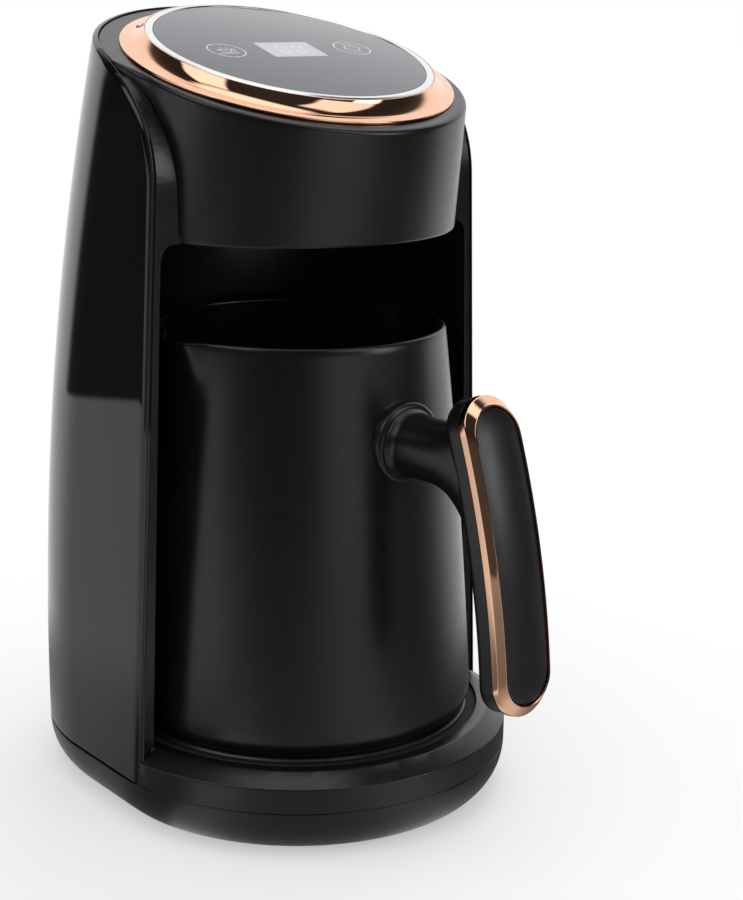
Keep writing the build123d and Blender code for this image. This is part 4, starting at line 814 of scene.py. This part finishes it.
def make_grip_frame(m):
    """Plated frame: an upright flank, a slope above it, and a fine bead round the pad."""
    flank = [(2.0, -FRAME_T), (0.3, -FRAME_T), (0.10, -FRAME_T + 0.06), (0.02, -FRAME_T + 0.3),
             (0.0, -FRAME_T + 0.7), (0.0, -3.6), (0.0, -2.75), (0.01, -2.6), (0.04, -2.45)]
    slope = [(0.09 + 0.71 * i / 6, -2.3 + 1.95 * i / 6) for i in range(7)]
    bead = [(0.84, -0.22), (0.88, -0.14), (0.93, -0.12), (0.97, -0.2), (1.0, -0.42)]
    bed = [(1.0, -PAD_T), (2.0, -PAD_T)]
    inner = (GRIP_L - 2 * PAD_END, PAD_W)
    mesh = slot_sweep("grip_frame_plated", grip_loops(flank + slope + bead + bed, (GRIP_L, GRIP_W), inner))
    piece("grip_frame_plated", mesh, m["rose_gold"], "jug", ("grip_frame",))
    smooth(mesh, 40)


def make_grip_pad(m):
    """Crowned pad in the frame."""
    edge = [(2.0, -PAD_T + 0.05), (0.0, -PAD_T + 0.05)]
    crown = [(0.0, -1.5), (0.01, -1.25), (0.03, -1.08), (0.07, -0.92)]
    crown += [(0.1 + 1.9 * i / 14, PAD_PROUD - 1.15 * (0.95 * (1 - i / 14)) ** 2.2) for i in range(15)]
    outer = (GRIP_L - 2 * PAD_END - 0.2, PAD_W - 0.2)
    inner = (outer[0] - outer[1] / 2, outer[1] / 2)
    mesh = slot_sweep("grip_pad_crowned", grip_loops(edge + crown, outer, inner))
    piece("grip_pad_crowned", mesh, m["pad_black"], "jug", ("grip_pad",))
    smooth(mesh, 40)


def make_handle_arm(m):
    """Neck of ovals that spreads out into the grip's back shell."""
    length = GRIP_L - GRIP_W + GRIP_BACK_W
    low = -FRAME_T - GRIP_BACK_T
    shell = [(2.0, -FRAME_T), (0.0, -FRAME_T), (0.0, low + BACK_ROUND)]
    for i in range(1, 7):
        a = pi / 2 * i / 6
        shell.append((0.26 * (1 - cos(a)), low + BACK_ROUND - BACK_ROUND * sin(a)))
    shell += [(1.0, low), (2.0, low)]
    loops = grip_loops(shell, (length, GRIP_BACK_W), (length - GRIP_BACK_W / 2, GRIP_BACK_W / 2))
    verts = [point for loop in loops for point in loop]
    faces = grid_faces(len(loops), len(loops[0]), wrap=True)
    first = len(verts)
    ovals = [(-FLARE_END + 2.0, 0.0, 0.0), (-60.0, 0.0, 0.0)] + NECK_OVALS
    rows = [curve_through(ovals, k / NECK_ROWS) for k in range(NECK_ROWS + 1)]
    for y, rise, drop in rows:
        tall = NECK_R + (rise + drop) / 2
        for i in range(NECK_SIDES):
            a = 2 * pi * i / NECK_SIDES
            spot = Vector((NECK_R * sin(a), y, NECK_Z + (rise - drop) / 2 + tall * cos(a)))
            verts.append(under_grip(spot, -FRAME_T - NECK_SINK))
    faces += grid_faces(len(rows), NECK_SIDES, first, wrap=True)
    faces.append(tuple(range(first, first + NECK_SIDES)))
    faces.append(tuple(range(len(verts) - NECK_SIDES, len(verts))))
    mesh = mesh_from("handle_arm_moulded", verts, faces, JUG)
    piece("handle_arm_moulded", mesh, m["matt_black"], "jug", ("handle_arm",))
    smooth(mesh, 40)


# ---------------------------------------------------------------- CAD parts that stay
FINISHES = {
    "foot_ring": "soft_black", "plate_seal": "soft_black", "cord_gland": "soft_black",
    "heating_plate": "plate_metal", "sensor_plunger": "steel", "sensor_spring": "steel",
    "heating_element": "steel", "element_clamp": "steel", "sensor_guide": "white_ceramic",
    "thermal_fuse": "steel", "power_board": "board_green", "touch_board": "board_green",
    "relay": "part_blue", "transformer": "part_yellow", "filter_capacitor": "part_black",
    "terminal_block": "terminal_grey", "heater_wires": "wire_red", "panel_cable": "frame_black",
    "bay_ceiling": "matt_black", "boil_sensor": "frame_black", "sensor_lens": "lens",
    "panel_tray": "frame_black", "touch_springs": "brass", "display_module": "display",
    "buzzer": "part_black", "jug_base": "steel", "jug_gasket": "silicone", "jug_collar": "matt_black",
    "handle_nut": "brass",
}


def dress_cad(m):
    for name, node in frame["nodes"].items():
        if node.hide_render:
            continue
        key = FINISHES.get(name, "screw_steel" if name.endswith(("screws", "screw")) else "matt_black")
        node.data.materials.clear()
        node.data.materials.append(m[key])


# ---------------------------------------------------------------- stage
CAMERA_AT = (-0.3600, -0.5041, 0.2739)
CAMERA_AZIMUTH, CAMERA_PITCH, CAMERA_ROLL = -37.7547, 14.3583, 0.9359
FOCAL_PX, LONG_SIDE_PX, SENSOR_WIDTH = 1900.93, 900.0, 36.0


def make_camera():
    data = bpy.data.cameras.new("camera")
    camera = bpy.data.objects.new("camera", data)
    bpy.context.scene.collection.objects.link(camera)
    az, pitch, roll = radians(CAMERA_AZIMUTH), radians(CAMERA_PITCH), radians(CAMERA_ROLL)
    ahead = Vector((-sin(az) * cos(pitch), cos(az) * cos(pitch), -sin(pitch)))
    right = Vector((cos(az), sin(az), 0.0))
    up = right.cross(ahead)
    side = right * cos(roll) + up * sin(roll)
    top = up * cos(roll) - right * sin(roll)
    turn = Matrix((side, top, -ahead)).transposed().to_4x4()
    camera.matrix_world = Matrix.Translation(CAMERA_AT) @ turn
    data.sensor_width = SENSOR_WIDTH
    data.sensor_fit = "AUTO"
    data.lens = SENSOR_WIDTH * FOCAL_PX / LONG_SIDE_PX
    data.clip_start, data.clip_end = 0.01, 50.0
    bpy.context.scene.camera = camera


# What shiny surfaces see, as (degrees round from the side that the object is shown from, brightness): the
# studio's walls up to eye level, its upper part, the table, its outer part, and the table by the object.
WALLS = [(-180, 1.0), (-130, 1.0), (-120, 0.05), (-99, 0.04), (-88, 0.9), (-66, 0.9), (-46, 0.1),
         (-10, 0.04), (14, 0.15), (34, 0.9), (48, 0.8), (68, 0.05), (106, 0.05), (122, 1.0), (180, 1.0)]
UPPER = [(-180, 1.05), (-138, 1.05), (-122, 0.06), (-60, 0.03), (0, 0.03), (60, 0.03), (122, 0.06),
         (138, 1.05), (180, 1.05)]
TABLE = [(-180, 1.0), (-125, 0.9), (-108, 0.68), (-92, 0.68), (-72, 0.78), (-54, 0.88), (-39, 0.55),
         (-26, 0.28), (-14, 0.19), (2, 0.24), (18, 0.46), (34, 0.56), (48, 0.42), (66, 0.16), (84, 0.12),
         (98, 0.3), (112, 0.7), (124, 1.05), (142, 1.15), (180, 1.0)]
OUTER = [(-180, 1.0), (-125, 0.88), (-108, 0.68), (-92, 0.69), (-72, 0.78), (-54, 0.88), (-39, 0.57),
         (-26, 0.29), (-14, 0.15), (2, 0.15), (18, 0.33), (34, 0.53), (48, 0.63), (66, 0.41), (84, 0.19),
         (98, 0.3), (112, 0.67), (124, 1.02), (142, 1.15), (180, 1.0)]
# the table by the object: its low tones are painted shade, standing in for the object's shadow on the table
# as reflections see it
NEAR = [(-180, 0.4), (-135, 0.25), (-100, 0.5), (-84, 0.42), (-66, 0.3), (-48, 0.15), (-39, 0.3),
        (-30, 0.8), (-22, 0.66), (0, 0.34), (27, 0.5), (42, 0.7), (56, 0.45), (76, 0.2), (100, 0.12),
        (130, 0.12), (180, 0.4)]
# the rings that follow the table's nearest part outwards: tones, metres from the middle, half the blend
TABLE_RINGS = [(TABLE, 0.20, 0.05), (OUTER, 0.52, 0.05), (WALLS, 0.795, 0.015)]
# soft panes seen only in reflections: (low, high) degrees round and (low, high) sine of the height
PANES = [((-82, -38), (0.50, 0.93), 1.5), ((36, 78), (0.42, 0.87), 1.3), ((60, 80), (0.13, 0.42), 4.0)]
PANE_SOFT_SIDE, PANE_SOFT_TOP = 0.008, 0.03
# sines of the height over which the walls turn into the upper part, and this into the bright overhead
WALLS_TOP, OVERHEAD_RIM, OVERHEAD = (0.02, 0.22), (0.93, 0.97), 1.5
# the highest brightness in the lists above, which their curves are scaled by
BRIGHTEST = 1.2
# bearing of the side that the object is shown from
STUDIO_AXIS = -radians(CAMERA_AZIMUTH)
# the world's strength for all but what is seen or mirrored
PLAIN_LIGHT = 0.8
# metres from the middle over which the table fades into the background, and how white it is at the start
FADE_NEAR, FADE_FAR, FADE_START = 0.30, 0.75, 0.45
# share of the tones above, against the plain white cloth, in what shiny surfaces see of the table
MIRRORED_SHARE = 0.98


def calc(tree, operation, a, b, clamp=False):
    node = tree.nodes.new("ShaderNodeMath")
    node.operation = operation
    node.use_clamp = clamp
    for value, socket in ((a, node.inputs[0]), (b, node.inputs[1])):
        if isinstance(value, bpy.types.NodeSocket):
            tree.links.new(value, socket)
        else:
            socket.default_value = value
    return node.outputs[0]


def bearing(tree, vector):
    """Where a direction lies round the vertical, as a share of a turn: 0 to 1, with the shown side at 0.5."""
    parts = tree.nodes.new("ShaderNodeSeparateXYZ")
    tree.links.new(vector, parts.inputs[0])
    x, y = parts.outputs["X"], parts.outputs["Y"]

    def along(share_x, share_y):
        return calc(tree, "ADD", calc(tree, "MULTIPLY", x, share_x), calc(tree, "MULTIPLY", y, share_y))

    front = along(-sin(STUDIO_AXIS), -cos(STUDIO_AXIS))
    right = along(cos(STUDIO_AXIS), -sin(STUDIO_AXIS))
    turn = calc(tree, "ARCTAN2", right, front)
    return calc(tree, "ADD", calc(tree, "MULTIPLY", turn, 1 / (2 * pi)), 0.5)


def all_round(tree, share, stops):
    """Brightness at a bearing, from a list of (degrees, brightness)."""
    ramp = tree.nodes.new("ShaderNodeFloatCurve")
    curve = ramp.mapping.curves[0]
    points = [((degrees + 180) / 360, value / BRIGHTEST) for degrees, value in stops]
    curve.points[0].location = points[0]
    curve.points[1].location = points[-1]
    for point in points[1:-1]:
        curve.points.new(*point)
    ramp.mapping.update()
    tree.links.new(share, ramp.inputs["Value"])
    return calc(tree, "MULTIPLY", ramp.outputs[0], BRIGHTEST)


def fade(tree, value, low, high, start=0.0, end=1.0):
    """From start to end as the value goes from low to high, softly."""
    node = tree.nodes.new("ShaderNodeMapRange")
    node.interpolation_type = "SMOOTHSTEP"
    for key, number in (("From Min", low), ("From Max", high), ("To Min", start), ("To Max", end)):
        node.inputs[key].default_value = number
    tree.links.new(value, node.inputs["Value"])
    return node.outputs["Result"]


def window(tree, value, low, high, soft):
    """1 between two values, falling off softly outside them."""
    rise = fade(tree, value, low - soft, low + soft)
    return calc(tree, "MULTIPLY", rise, fade(tree, value, high - soft, high + soft, 1.0, 0.0))


def blend(tree, share, a, b):
    """a where share is 0 and b where it is 1."""
    node = tree.nodes.new("ShaderNodeMix")
    for value, key in ((share, "Factor"), (a, "A"), (b, "B")):
        if isinstance(value, bpy.types.NodeSocket):
            tree.links.new(value, node.inputs[key])
        else:
            node.inputs[key].default_value = value
    return node.outputs["Result"]


def mirrored_rays(tree, path):
    """1 for the rays that metal, gloss and glass send out."""
    return calc(tree, "ADD", path.outputs["Is Glossy Ray"], path.outputs["Is Transmission Ray"], True)


def make_world():
    """White to the eye, a shaped studio in reflections, and plain light on everything else."""
    world = bpy.data.worlds.new("studio")
    bpy.context.scene.world = world
    world.use_nodes = True
    tree = world.node_tree
    tree.nodes.clear()
    out = tree.nodes.new("ShaderNodeOutputWorld")
    way = tree.nodes.new("ShaderNodeTexCoord").outputs["Generated"]
    path = tree.nodes.new("ShaderNodeLightPath")
    parts = tree.nodes.new("ShaderNodeSeparateXYZ")
    tree.links.new(way, parts.inputs[0])
    mirrored = mirrored_rays(tree, path)
    height, round_share = parts.outputs["Z"], bearing(tree, way)
    walls, upper = all_round(tree, round_share, WALLS), all_round(tree, round_share, UPPER)
    shaped = blend(tree, fade(tree, height, *WALLS_TOP), walls, upper)
    shaped = blend(tree, fade(tree, height, *OVERHEAD_RIM), shaped, OVERHEAD)
    for (left, right), (low, high), brightness in PANES:
        across = window(tree, round_share, (left + 180) / 360, (right + 180) / 360, PANE_SOFT_SIDE)
        pane = calc(tree, "MULTIPLY", across, window(tree, height, low, high, PANE_SOFT_TOP))
        shaped = blend(tree, pane, shaped, brightness)
    strength = blend(tree, mirrored, PLAIN_LIGHT, shaped)
    strength = blend(tree, path.outputs["Is Camera Ray"], strength, 1.0)
    light = add(tree, "ShaderNodeBackground", Color=(1, 1, 1, 1))
    tree.links.new(strength, light.inputs["Strength"])
    tree.links.new(light.outputs[0], out.inputs["Surface"])


def make_floor():
    """White table: to the eye it keeps the object's shadow and fades into the white background; in
    reflections it glows with the tones above, whose lows by the object are painted shade.
    """
    mesh = bpy.data.meshes.new("floor")
    reach = 6.0
    corners = [(-reach, -reach, 0), (reach, -reach, 0), (reach, reach, 0), (-reach, reach, 0)]
    mesh.from_pydata(corners, [], [(0, 1, 2, 3)])
    floor = bpy.data.objects.new("floor", mesh)
    bpy.context.scene.collection.objects.link(floor)
    floor.location.z = -0.0001
    mat, tree, out = new_material("floor_white")
    coords = tree.nodes.new("ShaderNodeTexCoord").outputs["Object"]
    path = tree.nodes.new("ShaderNodeLightPath")
    span = tree.nodes.new("ShaderNodeVectorMath")
    span.operation = "LENGTH"
    tree.links.new(coords, span.inputs[0])
    far = span.outputs["Value"]
    mirrored = mirrored_rays(tree, path)
    round_share = bearing(tree, coords)
    seen = all_round(tree, round_share, NEAR)
    for stops, edge, soft in TABLE_RINGS:
        further = fade(tree, far, edge - soft, edge + soft)
        seen = blend(tree, further, seen, all_round(tree, round_share, stops))
    cloth = add(tree, "ShaderNodeBsdfDiffuse", Color=(0.92, 0.92, 0.92, 1))
    glow = add(tree, "ShaderNodeEmission", Color=(1, 1, 1, 1))
    tree.links.new(blend(tree, mirrored, 1.0, seen), glow.inputs["Strength"])
    paper = fade(tree, far, FADE_NEAR, FADE_FAR, FADE_START, 1.0)
    plain = calc(tree, "MULTIPLY", path.outputs["Is Camera Ray"], paper)
    share = calc(tree, "ADD", plain, calc(tree, "MULTIPLY", mirrored, MIRRORED_SHARE), True)
    mix = tree.nodes.new("ShaderNodeMixShader")
    tree.links.new(share, mix.inputs["Fac"])
    tree.links.new(cloth.outputs[0], mix.inputs[1])
    tree.links.new(glow.outputs[0], mix.inputs[2])
    tree.links.new(mix.outputs[0], out.inputs["Surface"])
    mesh.materials.append(mat)


def softbox(name, at, aim, width, height, radiance):
    """Rectangular lamp of an even brightness, which reflections don't show."""
    data = bpy.data.lights.new(name, "AREA")
    data.shape = "RECTANGLE"
    data.size = width
    data.size_y = height
    data.energy = radiance * pi * width * height
    lamp = bpy.data.objects.new(name, data)
    bpy.context.scene.collection.objects.link(lamp)
    lamp.location = at
    lamp.rotation_euler = (Vector(aim) - Vector(at)).to_track_quat("-Z", "Y").to_euler()
    lamp.visible_glossy = False


def make_lights():
    softbox("back_panel", (0.66, 0.58, 0.94), (0, 0.01, 0.24), 0.85, 0.75, 2.0)
    softbox("top_panel", (-0.10, -0.15, 1.25), (0, 0, 0.1), 0.8, 0.8, 1.2)
    softbox("fill", (-0.9, -0.9, 0.9), (0, 0, 0.1), 0.8, 0.8, 0.8)


def view_settings():
    bpy.context.scene.view_settings.view_transform = "Standard"


def build():
    m = make_materials()
    make_rear_cover(m)
    make_head(m)
    for node, width in (("column_housing", 0.4), ("base_plinth", 0.35), ("base_pan", 0.35)):
        softened_node(node, m["matt_black"], width)
    make_bay_corners(m)
    make_bezel_ring(m)
    make_silver_ring(m)
    make_panel_glass(m)
    make_jug_body(m)
    make_handle_flare(m)
    make_handle_arm(m)
    make_grip_frame(m)
    make_grip_pad(m)
    make_panel_marks(m)
    dress_cad(m)


view_settings()
make_camera()
make_world()
make_floor()
make_lights()
build()
